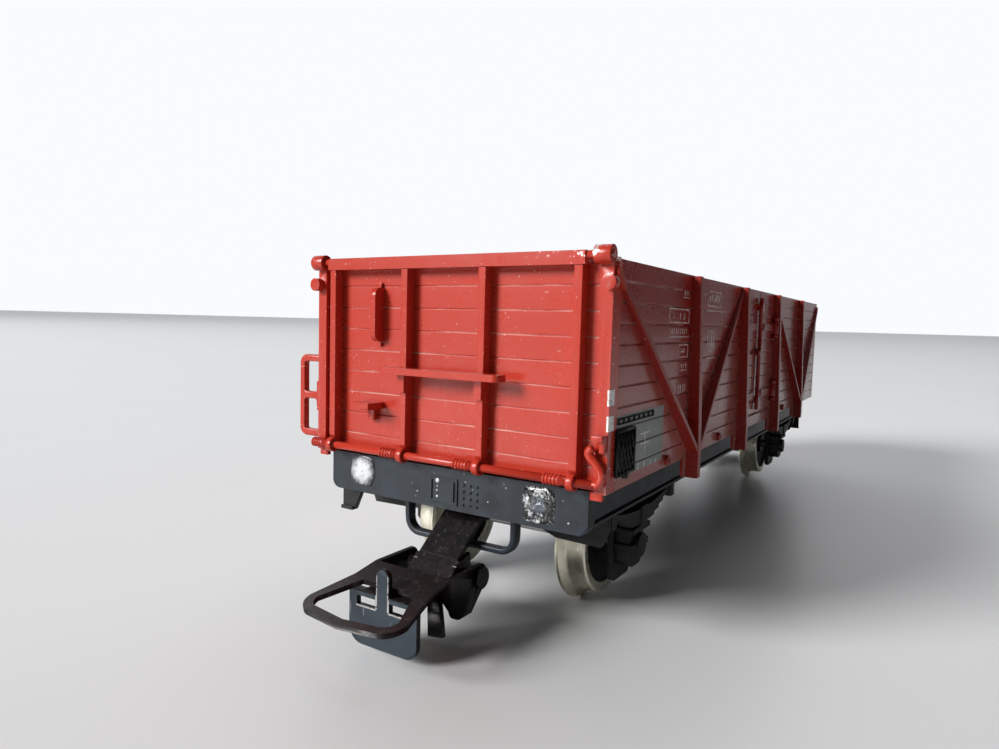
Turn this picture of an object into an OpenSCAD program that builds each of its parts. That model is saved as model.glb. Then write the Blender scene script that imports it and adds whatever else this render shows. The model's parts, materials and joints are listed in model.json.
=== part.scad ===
// Two-axle high-sided goods wagon, an H0 scale model.
// The end at -Y has a hinged flap, each side has a pair of doors, and a loop
// coupler swings under each end. +Z is up, +Y runs along the wagon, and the
// wheels' flanges stand on z = 0.

/* [Body] */
// Length of the body over its end faces
body_l = 100.2; // [92:0.1:120]
// Width of the body over its planked sides
body_w = 31.5; // [30.5:0.1:38]
// Height of the walls
wall_h = 18.3; // [16:0.1:22]
// Height of the walls' lower edge above the surface that the wheels stand on
deck_z = 14.4; // [14.2:0.1:17]
// Thickness of the planked walls and doors
plank_t = 1; // [0.8:0.05:1.2]
// Planks in each side wall
side_plank_n = 11; // [8:1:13]
// Planks in each end wall
end_plank_n = 9; // [6:1:12]
// Width and depth of the groove between two side planks
groove = 0.13; // [0.1:0.01:0.2]
// Width and depth of the groove between two end planks
end_groove = 0.08; // [0.06:0.01:0.2]
// Thickness of the load floor
floor_t = 1.2; // [0.8:0.05:1.6]
// Floor planks along the wagon
floor_n = 24; // [16:1:30]

/* [Posts] */
// Width of a corner post across the end
corner_w = 1.05; // [0.9:0.05:1.4]
// Depth of a corner post along the side
corner_d = 1.6; // [1.4:0.05:2]
// Width of a side post
post_w = 1; // [0.8:0.05:1.4]
// Height that a side post stands out from the planks at its top
post_out = 0.8; // [0.6:0.05:1]
// Height that posts and braces stand out from the planks at their foot
foot_out = 1.35; // [1.1:0.05:1.6]
// Width of a diagonal brace
brace_w = 0.55; // [0.45:0.05:0.8]
// Height that a brace stands out from the planks at its top
brace_out = 0.22; // [0.15:0.01:0.5]
// Depth of a post's foot below the wall
foot_drop = 1.95; // [1.5:0.05:2.4]

/* [Flap] */
// Depth of the flap's planks behind the corner posts' faces
flap_in = 0.4; // [0.3:0.05:0.6]
// Height of the stanchions in front of the corner posts' faces
stanchion_out = 0.7; // [0.5:0.05:1]
// Width of a stanchion
stanchion_w = 0.74; // [0.6:0.02:1]
// Distance of the inner stanchions from the middle
inner_x = 4.2; // [3:0.1:5.5]
// Distance of the outer stanchions from the middle
outer_x = 13.1; // [12.4:0.05:13.3]
// Radius of a hinge eye
eye_r = 0.74; // [0.65:0.01:0.85]
// Radius of a hinge pin
pin_r = 0.34; // [0.28:0.01:0.4]
// Radius of the lock shaft
lock_r = 0.4; // [0.34:0.01:0.44]
// Radius of the lock lever's rod
lever_r = 0.36; // [0.3:0.01:0.4]
// Running clearance of every pin and shaft, on the radius
run_gap = 0.05; // [0.03:0.01:0.08]

/* [Doors] */
// Height of the sill strip under the doors
door_sill_h = 1.4; // [1:0.05:1.8]
// Radius of a door's hinge knuckle
knuckle_r = 0.42; // [0.38:0.01:0.46]
// Radius of a door's hinge pin
door_pin_r = 0.2; // [0.16:0.01:0.22]
// Gap round the door leaves
door_gap = 0.15; // [0.12:0.01:0.2]

/* [Underframe] */
// Width over the solebars and the buffer beams
frame_w = 28.2; // [27.6:0.1:28.6]
// Height of a buffer beam
beam_h = 3.8; // [3.2:0.1:4.4]
// Thickness of a buffer beam
beam_t = 1.35; // [1.1:0.05:1.6]
// Depth of the buffer beam's face behind the corner posts' faces
beam_in = 0.5; // [0.4:0.05:0.7]
// Height of a solebar
solebar_h = 3.25; // [3:0.05:3.6]
// Thickness of the underframe's plate
pan_t = 1.2; // [0.8:0.05:1.3]
// Distance of each axle from the body's end face
axle_in = 14.5; // [13.8:0.1:18]

/* [Wheels] */
// Radius of the tread
tread_r = 5.4; // [5.2:0.05:5.5]
// Height of the flange above the tread
flange_h = 0.95; // [0.7:0.05:1]
// Distance between the wheels' inner faces
back_to_back = 14.1; // [13.9:0.05:14.4]
// Width of a wheel
wheel_w = 2.8; // [2.4:0.05:2.9]
// Radius of an axle
axle_r = 0.75; // [0.6:0.05:0.9]

/* [Coupler] */
// Distance of the coupler's pivot from the body's end face
pivot_in = 10; // [9.5:0.1:11]
// Reach of the loop in front of the end face
loop_reach = 13; // [12:0.1:14]
// Half width of the loop at its front
loop_half = 5.05; // [4.6:0.05:5.5]
// Thickness of the coupler's sheet metal
sheet_t = 0.45; // [0.4:0.01:0.5]
// Half width of the coupler's shaft
shaft_half = 2.1; // [1.9:0.05:2.2]
// Radius of the loop's rivet
rivet_r = 0.4; // [0.35:0.01:0.45]
// Width of the hook plate
hook_w = 7.2; // [6.6:0.1:7.4]

/* [Fittings] */
// Reach of the grab handles beside the body
grab_out = 3.1; // [2.6:0.1:3.4]
// Thickness of a grab handle's bars
grab_t = 0.7; // [0.6:0.05:0.8]
// Radius of a buffer's head
buffer_r = 2.6; // [2.2:0.1:2.9]
// Distance of a buffer from the middle
buffer_x = 10; // [9.6:0.1:10.4]

/* [Hidden] */
$fn = 48;

half_l = body_l / 2;
half_w = body_w / 2;
half_frame = frame_w / 2;
bay = body_l / 5;
side_plank_h = wall_h / side_plank_n;
end_plank_h = wall_h / end_plank_n;
inside_w = body_w - 2 * plank_t;
clear = 0.1;
fit = 0.01;
paint = "firebrick";
dark = "darkslategray";
black = [0.1, 0.1, 0.11];

module deck() {
  translate([0, 0, deck_z]) children();
}

// Places children at an end, with y = 0 on the end face and +y inwards
module at_end(far = false) {
  rotate([0, 0, far ? 180 : 0]) translate([0, -half_l, 0]) children();
}

module both_sides() {
  children();
  mirror([1, 0, 0]) children();
}

module both_ends() {
  at_end(false) children();
  at_end(true) children();
}

// A box given by its lowest and highest corners
module block(low, high) {
  translate(low) cube(high - low);
}

// A rod along X, between two x values
module rod_x(x0, x1, y, z, r) {
  translate([x0, y, z]) rotate([0, 90, 0]) cylinder(h = x1 - x0, r = r);
}

// A rod along Y, between two y values
module rod_y(x, y0, y1, z, r) {
  translate([x, y1, z]) rotate([90, 0, 0]) cylinder(h = y1 - y0, r = r);
}

// A plate in the XZ plane, from a 2-D outline, between two y values
module plate_y(y0, y1) {
  translate([0, y1, 0]) rotate([90, 0, 0]) linear_extrude(height = y1 - y0) children();
}

// A plate in the YZ plane, from a 2-D outline, between two x values
module plate_x(x0, x1) {
  translate([x0, 0, 0]) rotate([90, 0, 90]) linear_extrude(height = x1 - x0) children();
}

// Points of an arc, for the corners of an outline
function arc(c, r, a0, a1, n = 6) =
  [for (i = [0:n]) c + r * [cos(a0 + (a1 - a0) * i / n), sin(a0 + (a1 - a0) * i / n)]];

// ---- underframe ----

pan_half = half_frame - 0.8;
tail_z = -5;
tail_t = 0.6;
pivot_r = 0.8;
boss_low = tail_z + tail_t / 2 + clear;
beam_back = beam_in + beam_t;

module underframe() {
  color(dark) deck() difference() {
    union() {
      block([-pan_half, beam_back - half_l, -pan_t], [pan_half, half_l - beam_back, 0]);
      for (s = [-1, 1]) block([s * 3.6 - 0.5, -20, -3], [s * 3.6 + 0.5, 20, -pan_t + clear]);
      both_ends() translate([0, pivot_in, boss_low]) cylinder(h = -pan_t + clear - boss_low, r = 1.9);
    }
    both_ends() translate([0, pivot_in, boss_low - 1]) cylinder(h = 7, r = pivot_r);
    for (s = [-1, 1]) translate([0, s * 25, -pan_t - 1]) cylinder(h = 3, r = 0.9);
  }
}

// Channel section: a web with a groove and a ledge along its lower edge
module solebar() {
  color(dark) deck() difference() {
    block([pan_half, beam_back - half_l, -solebar_h], [half_frame, half_l - beam_back, 0]);
    block([half_frame - 0.4, -half_l, -2.95], [half_frame + 1, half_l, -2.65]);
  }
}

module solebar_right() {
  solebar();
}

module solebar_left() {
  mirror([1, 0, 0]) solebar();
}

module buffer_beam(far) {
  r = 0.9;
  low = -beam_h;
  color(dark) deck() at_end(far) plate_y(beam_in, beam_back)
    polygon(concat(
      [[-half_frame, -0.02], [-half_frame, low + r]],
      arc([r - half_frame, low + r], r, 180, 270),
      arc([half_frame - r, low + r], r, 270, 360),
      [[half_frame, -0.02]]
    ));
}

module buffer_beam_near() {
  buffer_beam(false);
}

module buffer_beam_far() {
  buffer_beam(true);
}

// Small plate in the middle of each beam, with two slots and three columns of rivets
module drawgear_plates() {
  y0 = beam_in - 0.12;
  color(dark) deck() both_ends() {
    difference() {
      block([-1.7, y0, -3.3], [1.35, beam_in, -0.9]);
      for (x = [-1.4, 1.05]) block([x - 0.1, y0 - 1, -3], [x + 0.1, beam_in + 1, -1.2]);
    }
    for (x = [1.95, 2.7, 3.4], z = [-3.1, -2.5, -1.9, -1.3]) rod_y(x, y0, beam_in, z, 0.13);
  }
}

// What is left of the two buffers that have broken off
module buffer_stumps_near() {
  color("silver") deck() at_end(false) for (s = [-1, 1])
    rod_y(s * buffer_x, beam_in - 0.3, beam_in, -1.95, 1.35);
}

module buffers_far() {
  color(black) deck() at_end(true) for (s = [-1, 1]) translate([s * buffer_x, beam_in, -1.95])
    rotate([90, 0, 0]) rotate_extrude() polygon([
      [0, 0], [1.9, 0], [1.9, 0.5], [1.35, 0.7], [1.35, 3.4], [0.8, 3.5], [0.8, 5.6],
      [buffer_r, 5.8], [buffer_r, 6.2], [buffer_r * 0.6, 6.45], [0, 6.5]
    ]);
}

// ---- axle guards, boxes and springs ----

flange_r = tread_r + flange_h;
axle_z = flange_r - deck_z;
wheel_in = back_to_back / 2;
guard_x = wheel_in + wheel_w + 1;
guard_t = 0.6;
guard_half = 2.3;
guard_low = axle_z - 3.6;
journal_r = axle_r * 0.8;
box_x = guard_x + guard_t;
box_t = 1.5;
box_half = 1.75;
box_low = axle_z - 2.1;
box_top = axle_z + 1.9;
axle_end = box_x + box_t;
spring_x = box_x + 0.7;
spring_w = 1.4;
spring_r = 32;
spring_half = 8;
leaf_n = 5;
leaf_t = 0.3;
spring_low = box_top + 0.3;
stay_in = axle_in - spring_half - 0.3;

module axle_guards(far) {
  color(black) deck() at_end(far) both_sides() {
    difference() {
      plate_x(guard_x, box_x) polygon([
        [axle_in - 5.2, -pan_t], [axle_in - 5.2, -pan_t - 1.6], [axle_in - guard_half, axle_z + 2.4],
        [axle_in - guard_half, guard_low + 0.6], [axle_in - guard_half + 0.6, guard_low],
        [axle_in + guard_half - 0.6, guard_low], [axle_in + guard_half, guard_low + 0.6],
        [axle_in + guard_half, axle_z + 2.4], [axle_in + 5.2, -pan_t - 1.6],
        [axle_in + 5.2, -pan_t]
      ]);
      rod_x(guard_x - 1, box_x + 1, axle_in, axle_z, journal_r + run_gap);
      for (s = [-1, 1]) plate_x(guard_x - 1, box_x + 1) polygon([
        [axle_in + s * 0.6, -pan_t - 1.2], [axle_in + s * 3.6, -pan_t - 1.2],
        [axle_in + s * 1.4, axle_z + 2.9], [axle_in + s * 0.6, axle_z + 2.9]
      ]);
    }
    plate_y(stay_in - 0.5, stay_in) polygon([
      [5.6, -pan_t], [5.6, -4.9], [8.6, -6.1], [13, -6.2], [13.7, -4.6],
      [13.7, -solebar_h], [pan_half, -solebar_h], [pan_half, -pan_t]
    ]);
  }
}

module axle_guards_near() {
  axle_guards(false);
}

module axle_guards_far() {
  axle_guards(true);
}

// Cast box with a ribbed lid, and the blind hole that the axle's journal runs in
module axle_boxes(far) {
  color(black) deck() at_end(far) both_sides() difference() {
    union() {
      plate_x(box_x, box_x + box_t) polygon([
        [axle_in - box_half, box_top], [axle_in - box_half, box_low + 0.8],
        [axle_in - box_half + 0.8, box_low], [axle_in + box_half - 0.8, box_low],
        [axle_in + box_half, box_low + 0.8], [axle_in + box_half, box_top]
      ]);
      block([box_x, axle_in - 2.1, axle_z - 0.3], [box_x + 1.9, axle_in + 2.1, axle_z + 0.3]);
      rod_x(box_x, box_x + 2.1, axle_in, axle_z, 1.15);
      block([box_x, axle_in - 2.2, box_top - 0.5], [box_x + 2, axle_in + 2.2, box_top]);
    }
    rod_x(box_x - 1, axle_end + 0.15, axle_in, axle_z, journal_r + run_gap);
  }
}

module axle_boxes_near() {
  axle_boxes(false);
}

module axle_boxes_far() {
  axle_boxes(true);
}

// Side outline of the stacked leaves, bent to an arc that sags towards the axle
module leaf_stack() {
  c = [axle_in, spring_low + leaf_n * leaf_t + spring_r];
  a0 = asin(spring_half / spring_r);
  steps = [for (i = [0:leaf_n - 1]) a0 - 2.3 * i];
  polygon(concat(
    arc(c, spring_r, 270 - a0, 270 + a0, 12),
    [for (i = [0:leaf_n - 1], k = [0, 1]) arc(c, spring_r + (i + k) * leaf_t, 270 + steps[i], 270)[0]],
    arc(c, spring_r + leaf_n * leaf_t, 270 + steps[leaf_n - 1] - 2.3, 270 - steps[leaf_n - 1] + 2.3, 2),
    [for (i = [leaf_n - 1:-1:0], k = [1, 0]) arc(c, spring_r + (i + k) * leaf_t, 270 - steps[i], 270)[0]]
  ));
}

// A stack of leaves, with a buckle on the axle box and a shackle at each end
module leaf_springs(far) {
  color(black) deck() at_end(far) both_sides() {
    plate_x(spring_x, spring_x + spring_w) leaf_stack();
    block([spring_x - 0.15, axle_in - 0.75, box_top],
      [spring_x + spring_w + 0.15, axle_in + 0.75, spring_low + leaf_n * leaf_t + 0.25]);
    for (s = [-1, 1]) translate([0, axle_in + s * (spring_half - 0.25), 0])
      block([spring_x + 0.2, -0.5, -4.7], [half_frame - 0.3, 0.5, -solebar_h]);
  }
}

module leaf_springs_near() {
  leaf_springs(false);
}

module leaf_springs_far() {
  leaf_springs(true);
}

// ---- stirrups, steps and screws under the frame ----

stirrup_half = 6.25;
stirrup_low = -7.6;
stirrup_t = 0.55;
stirrup_in = 2.45;
stirrup_w = 1;

// U outline with rounded lower corners, open at the top
function u_half(w, low, r) = concat(
  [[-w, -pan_t]], arc([r - w, low + r], r, 180, 270),
  arc([w - r, low + r], r, 270, 360), [[w, -pan_t]]
);

module coupler_stirrups() {
  color(dark) deck() both_ends() plate_y(stirrup_in, stirrup_in + stirrup_w) difference() {
    polygon(u_half(stirrup_half, stirrup_low, 1.6));
    translate([0, 0.5]) polygon(u_half(stirrup_half - stirrup_t, stirrup_low + stirrup_t - 0.5, 1.1));
    translate([-stirrup_half + stirrup_t, -2]) square([2 * (stirrup_half - stirrup_t), 4]);
  }
}

pivot_low = -6.1;

// Shouldered screws, each with its head under the coupler's tail
module coupler_pivot_screws() {
  color("silver") deck() both_ends() translate([0, pivot_in, 0]) {
    translate([0, 0, pivot_low + 0.6]) cylinder(h = -pivot_low - 0.6, r = pivot_r - fit);
    difference() {
      translate([0, 0, pivot_low]) cylinder(h = 0.62, r = 1.5);
      block([-2, -0.2, pivot_low - 1], [2, 0.2, pivot_low + 0.25]);
    }
  }
}

module body_screws() {
  color("silver") deck() for (s = [-1, 1]) translate([0, s * 25, 0]) {
    translate([0, 0, -pan_t - 0.02]) cylinder(h = pan_t + 0.52, r = 0.9 - fit);
    difference() {
      translate([0, 0, -pan_t - 0.7]) cylinder(h = 0.7, r = 1.6);
      block([-2, -0.2, -pan_t - 1], [2, 0.2, -pan_t - 0.4]);
    }
  }
}

// A hanger and a tread under the two corners that have a grab handle
module shunter_steps() {
  color(black) deck() both_ends() {
    plate_y(beam_back, beam_back + 0.5) polygon([
      [-14, -solebar_h], [-14, -6.2], [-12.4, -6.2], [-11.6, -4.4], [-11.6, -solebar_h],
      [-11.6, -pan_t], [-pan_half, -pan_t], [-pan_half, -solebar_h]
    ]);
    block([-14, beam_back - 0.3, -6.2], [-12.4, beam_back, -5.85]);
  }
}

// ---- floor and fixed walls ----

wall_back = flap_in + plank_t;
floor_end = max(wall_back + clear, corner_d);
floor_pitch = 2 * (half_l - floor_end) / floor_n;

module load_floor() {
  color(paint) deck() difference() {
    block([-inside_w / 2, floor_end - half_l, 0], [inside_w / 2, half_l - floor_end, floor_t]);
    for (i = [1:floor_n - 1]) translate([0, floor_end - half_l + i * floor_pitch, floor_t])
      block([-half_w, -groove / 2, -groove], [half_w, groove / 2, groove]);
    for (s = [-1, 1]) translate([0, s * 25, -1]) cylinder(h = 1.6, r = 0.9);
  }
}

// Horizontal grooves across both faces of a wall whose planks start at the wall's foot
module groove_cuts_x(x0, x1, y0, y1) {
  for (i = [1:side_plank_n - 1]) translate([0, 0, i * side_plank_h - groove / 2]) {
    block([x1 - groove, y0 - 1, 0], [x1 + 1, y1 + 1, groove]);
    block([x0 - 1, y0 - 1, 0], [x0 + groove, y1 + 1, groove]);
  }
}

module groove_cuts_y(x0, x1, y0, y1) {
  for (i = [1:end_plank_n - 1]) translate([0, 0, i * end_plank_h - end_groove / 2]) {
    block([x0 - 1, y1 - end_groove, 0], [x1 + 1, y1 + 1, end_groove]);
    block([x0 - 1, y0 - 1, 0], [x1 + 1, y0 + end_groove, end_groove]);
  }
}

door_post_in = bay / 2 + post_w / 2;
door_free = bay / 2 - post_w / 2;

module side_wall() {
  x0 = inside_w / 2;
  y1 = -bay / 2 + post_w / 2;
  color(paint) deck() difference() {
    block([x0, corner_d - half_l, 0], [half_w, y1, wall_h]);
    groove_cuts_x(x0, half_w, corner_d - half_l, y1);
  }
}

module side_wall_right_near() {
  side_wall();
}

module side_wall_right_far() {
  mirror([0, 1, 0]) side_wall();
}

module side_wall_left_near() {
  mirror([1, 0, 0]) side_wall();
}

module side_wall_left_far() {
  rotate([0, 0, 180]) side_wall();
}

eye_z = wall_h + 0.2;
eye_in = -0.3;
eye_w = 1.35;
bolt_z = wall_h - 1.9;

// The pair of posts at the flap end carries the hinge eyes and the stop bolts
module corner_posts() {
  x0 = half_w - corner_w;
  color(paint) deck() {
    at_end(true) both_sides() block([x0, 0, 0], [half_w, corner_d, wall_h]);
    at_end(false) both_sides() {
      difference() {
        union() {
          block([x0, 0, 0], [half_w, corner_d, wall_h]);
          rod_x(half_w - eye_w, half_w + 0.05, eye_in, eye_z, eye_r);
          block([x0, eye_in, eye_z - eye_r + 0.1], [half_w, corner_d - 0.3, eye_z - 0.1]);
        }
        rod_x(half_w - 4, half_w + 1, eye_in, eye_z, pin_r + run_gap);
      }
      rod_y(half_w - 0.15, -0.7, 0.1, bolt_z, 0.62);
      rod_x(half_w - 0.1, half_w + 0.2, 0.65, wall_h - 0.5, 0.25);
      block([x0 - 0.3, 0.02, -0.55], [half_w - 0.35, 0.45, 0.1]);
    }
  }
}

// ---- side posts, braces and fittings ----

foot_in = 0.45;
knee_z = 0.8;
brace_low = 0.7;
brace_high = wall_h - 1.3;

// Tapered post that stands out further towards its foot, which hangs below the wall
module side_post(y) {
  translate([0, y, 0]) plate_y(-post_w / 2, post_w / 2) polygon([
    [half_w - foot_in, 0], [half_w - foot_in, -foot_drop], [half_w + foot_out, -foot_drop],
    [half_w + foot_out, knee_z], [half_w + post_out, wall_h - 0.1], [half_w, wall_h - 0.1],
    [half_w, 0]
  ]);
}

module side_posts() {
  color(paint) deck() both_sides() for (y = [-1.5, -0.5, 0.5, 1.5] * bay) side_post(y);
}

// A bar with upright ends, from (y0, z0) to (y1, z1) along its lower edge
module brace(y0, z0, y1, z1) {
  run = sqrt(pow(y1 - y0, 2) + pow(z1 - z0, 2));
  h = brace_w * run / (y1 - y0);
  plate_x(half_w, half_w + foot_out + 1)
    polygon([[y0, z0], [y1, z1], [y1, z1 + h], [y0, z0 + h]]);
}

// The braces are cut to a slanted face, flush with the posts' feet
module side_braces() {
  gap = post_w / 2;
  color(paint) deck() both_sides() intersection() {
    for (m = [0, 1]) mirror([0, m, 0]) {
      brace(0.3 - half_l, brace_high, -1.5 * bay - gap, brace_low);
      brace(-1.5 * bay + gap, brace_low, -0.5 * bay - gap, brace_high);
    }
    plate_y(-half_l, half_l) polygon([
      [half_w - 1, 0], [half_w + foot_out - 0.03, 0], [half_w + foot_out - 0.03, knee_z],
      [half_w + brace_out, wall_h], [half_w - 1, wall_h]
    ]);
  }
}

// Closed pockets with a hatched face and a clip rail above
module label_boards() {
  color(black) deck() for (a = [0, 180]) rotate([0, 0, a]) {
    y0 = corner_d - half_l;
    block([half_w, y0 - 0.3, 1.15], [half_w + 0.35, y0 + 3.6, 4.9]);
    block([half_w, y0 - 0.1, 5.3], [half_w + 0.2, y0 + 8.1, 5.75]);
    rod_x(half_w, half_w + 0.4, y0 + 1.9, 1.05, 0.32);
  }
}

module tie_bosses() {
  color(paint) deck() both_sides() for (y = [13.4, 31.2]) for (m = [0, 1]) mirror([0, m, 0])
    difference() {
      rod_x(half_w, half_w + 0.45, y - half_l, 0.75, 0.48);
      rod_x(half_w + 0.2, half_w + 1, y - half_l, 0.75, 0.22);
    }
}

// Ladder-shaped handle beside one corner of the flap end
module grab_handles() {
  out = half_w + grab_out;
  r = 0.9;
  y0 = 0.35;
  y1 = y0 + grab_t;
  low = 1.05;
  high = 9.4;
  mid = 5.25;
  color(paint) deck() at_end(false) difference() {
    plate_y(y0, y1) polygon(concat(
      [[-half_w, low]], arc([r - out, low + r], r, 270, 180),
      arc([r - out, high - r], r, 180, 90), [[-half_w, high]]
    ));
    block([grab_t - out, y0 - 1, low + grab_t], [-half_w - grab_t, y1 + 1, mid - grab_t / 2]);
    block([grab_t - out, y0 - 1, mid + grab_t / 2], [-half_w - grab_t, y1 + 1, high - grab_t]);
    block([-half_w - grab_t, y0 - 1, low + grab_t], [-half_w + 1, y1 + 1, mid - grab_t / 2 - 1.2]);
    block([-half_w - grab_t, y0 - 1, mid + grab_t / 2 + 1.2], [-half_w + 1, y1 + 1, high - grab_t]);
  }
}

// ---- doors ----

leaf_edge = door_gap;
leaf_y0 = -door_free + door_gap;
hinge_y = leaf_y0 + knuckle_r + 0.03;
hinge_x = half_w + knuckle_r + 0.03;
knuckle_h = 1.8;
knuckle_z = [4.2, 13.4];

module door_sills() {
  color(paint) deck() both_sides()
    block([inside_w / 2, -door_free, 0], [half_w, door_free, door_sill_h]);
}

// Near leaf of the right side: planks, frame strips and two hinge knuckles
module door() {
  x0 = inside_w / 2 + 0.02;
  z0 = door_sill_h + clear;
  y1 = -leaf_edge;
  color(paint) deck() difference() {
    union() {
      difference() {
        block([x0, leaf_y0, z0], [half_w, y1, wall_h]);
        groove_cuts_x(x0, half_w, leaf_y0 + 1.9, y1 - 0.9);
      }
      for (z = knuckle_z) {
        translate([hinge_x, hinge_y, z - knuckle_h / 2]) cylinder(h = knuckle_h, r = knuckle_r);
        block([half_w - 0.1, hinge_y, z - knuckle_h / 2], [hinge_x, hinge_y + 0.3, z + knuckle_h / 2]);
        block([half_w - 0.1, hinge_y, z - 0.45], [half_w + 0.25, y1 - 2.2, z + 0.45]);
      }
    }
    for (z = knuckle_z) translate([hinge_x, hinge_y, z - 2])
      cylinder(h = 4, r = door_pin_r + run_gap);
  }
}

module door_right_near() {
  door();
}

module door_right_far() {
  mirror([0, 1, 0]) door();
}

module door_left_near() {
  mirror([1, 0, 0]) door();
}

module door_left_far() {
  rotate([0, 0, 180]) door();
}

// Two lugs and the pin between them, for each knuckle, carried by the door posts
module door_pintles() {
  color(paint) deck() both_sides() for (m = [0, 1]) mirror([0, m, 0]) for (z = knuckle_z) {
    for (s = [-1, 1]) translate([0, 0, z + s * (knuckle_h / 2 + 0.35)]) {
      block([half_w + 0.02, -door_free, -0.25], [hinge_x + 0.3, hinge_y, 0.25]);
      translate([hinge_x, hinge_y, -0.25]) cylinder(h = 0.5, r = knuckle_r - 0.02);
    }
    translate([hinge_x, hinge_y, z - knuckle_h / 2 - 0.5]) cylinder(h = knuckle_h + 1, r = door_pin_r);
  }
}

// Upright bolt with its guides and handle, on the near leaf of a side
module door_latch() {
  x = half_w + 0.34;
  y = -leaf_edge - 0.55;
  color(paint) deck() {
    translate([x, y, 2.2]) cylinder(h = wall_h - 3.2, r = 0.26);
    for (z = [3.1, 9.6, 15.6]) block([half_w, y - 0.5, z], [half_w + 0.62, y + 0.45, z + 0.9]);
    block([half_w + 0.3, y - 1.5, 9.7], [half_w + 0.7, y - 0.4, 10.3]);
  }
}

module door_latch_right() {
  door_latch();
}

module door_latch_left() {
  mirror([1, 0, 0]) door_latch();
}

// ---- fixed far end ----

flap_half = half_w - corner_w - clear;

module end_wall_far() {
  x = half_w - corner_w;
  color(paint) deck() at_end(true) difference() {
    union() {
      block([-x, flap_in, 0], [x, wall_back, wall_h]);
      block([-x, flap_in, 0], [x, floor_end, floor_t]);
    }
    groove_cuts_y(-x, x, flap_in, wall_back);
  }
}

module end_frame_far() {
  color(paint) deck() at_end(true) {
    for (x = [-outer_x, -inner_x, inner_x, outer_x])
      block([x - stanchion_w / 2, -stanchion_out, 0.2], [x + stanchion_w / 2, flap_in, wall_h - 0.6]);
    block([1 - flap_half, -stanchion_out, wall_h - 0.6], [flap_half - 1, flap_in, wall_h + 0.3]);
  }
}

// ---- end flap ----

flap_low = 0.2;
flap_top = wall_h - 0.35;
rail_low = wall_h - 0.55;
rail_high = wall_h + 0.55;
rail_half = half_w - eye_w - 0.75;

module flap_planks() {
  color(paint) deck() at_end(false) difference() {
    block([-flap_half, flap_in, flap_low], [flap_half, wall_back, flap_top]);
    groove_cuts_y(-flap_half, flap_half, flap_in, wall_back);
  }
}

// Stanchions taper a little towards the foot and end above the lock shaft
module flap_stanchions() {
  foot = 1.5;
  color(paint) deck() at_end(false) for (x = [-outer_x, -inner_x, inner_x, outer_x])
    plate_x(x - stanchion_w / 2, x + stanchion_w / 2) polygon([
      [flap_in, foot], [0.15 - stanchion_out, foot], [-stanchion_out, foot + 0.25],
      [-stanchion_out, rail_low], [flap_in, rail_low]
    ]);
}

module flap_rail() {
  color(paint) deck() at_end(false) difference() {
    union() {
      block([-rail_half, -stanchion_out - 0.1, rail_low], [rail_half, flap_in, rail_high]);
      block([-rail_half, flap_in, flap_top], [rail_half, wall_back, wall_h]);
      for (s = [-1, 1]) rod_x(s * half_w - (s > 0 ? half_w - rail_half + 0.1 : 0.1),
        s * half_w + (s > 0 ? 0.1 : half_w - rail_half + 0.1), eye_in, eye_z, pin_r);
    }
    block([-half_w, -2, rail_high - 0.12], [half_w, -stanchion_out + 0.02, wall_h + 2]);
  }
}

step_z = 8.85;
step_half = 6.5;
step_out = 2;

module flap_step_board() {
  r = 0.6;
  x = step_half;
  color(paint) deck() at_end(false) {
    translate([0.3, 0, step_z - 0.6]) linear_extrude(height = 0.6) polygon(concat(
      [[-x, -stanchion_out]], arc([r - x, r - step_out], r, 180, 270),
      arc([x - r, r - step_out], r, 270, 360), [[x, -stanchion_out]]
    ));
    for (s = [-1, 1]) translate([s * inner_x - stanchion_w / 2, 0, 0])
      block([0, -stanchion_out - 0.3, step_z - 2.3], [stanchion_w, -stanchion_out, step_z - 0.6]);
  }
}

module flap_foot_step() {
  color(paint) deck() at_end(false) {
    block([-9.5, -1.8, 4.7], [-7.35, flap_in, 5.35]);
    block([-8.9, -0.2, 3.6], [-8.1, flap_in, 4.7]);
  }
}

grip_x = -7.8;

module flap_grip() {
  low = 11.05;
  high = 16.1;
  r = 0.8;
  color(paint) deck() at_end(false) {
    plate_x(grip_x - 0.3, grip_x + 0.3) polygon(concat(
      [[flap_in, low]], arc([r - 0.85, low + r], r, 270, 180),
      arc([r - 0.85, high - r], r, 180, 90), [[flap_in, high]]
    ));
    for (z = [low - 0.45, high + 0.1]) block([grip_x - 0.2, 0.1, z], [grip_x + 0.2, flap_in, z + 0.35]);
  }
}

lock_in = -0.62;
lock_z = 0.78;
lock_x = 15.2;
bearing_x = [-outer_x, -inner_x, inner_x, outer_x];

// Clips at the stanchions' feet, each with a bore that the lock shaft turns in
module lock_bearings() {
  color(paint) deck() at_end(false) for (x = bearing_x) difference() {
    union() {
      rod_x(x - 0.32, x + 0.32, lock_in, lock_z, lock_r + 0.3);
      block([x - 0.32, lock_in, lock_z - 0.35], [x + 0.32, flap_in, lock_z + 0.7]);
    }
    rod_x(x - 1, x + 1, lock_in, lock_z, lock_r + run_gap);
  }
}

// Points of the lever in the XZ plane, from the shaft's end to the tip
lever = [[lock_x, lock_z], [15.62, 1.75], [14.45, 3.1], [14.85, 3.75]];
lever_y = lock_in - 0.05;

module lock_shaft() {
  color(paint) deck() at_end(false) {
    rod_x(-lock_x - 0.4, lock_x, lock_in, lock_z, lock_r);
    for (x = bearing_x, k = [0:2]) rod_x(x - 2.3 + k * 0.62, x - 1.9 + k * 0.62, lock_in, lock_z, 0.56);
    for (i = [0:2]) {
      step = lever[i + 1] - lever[i];
      translate([lever[i][0], lever_y, lever[i][1]]) {
        rotate([0, atan2(step[0], step[1]), 0]) cylinder(h = norm(step), r = lever_r);
        sphere(r = lever_r + 0.01);
      }
    }
    translate([lever[3][0], lever_y, lever[3][1]]) sphere(r = lever_r + 0.01);
  }
}

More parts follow.
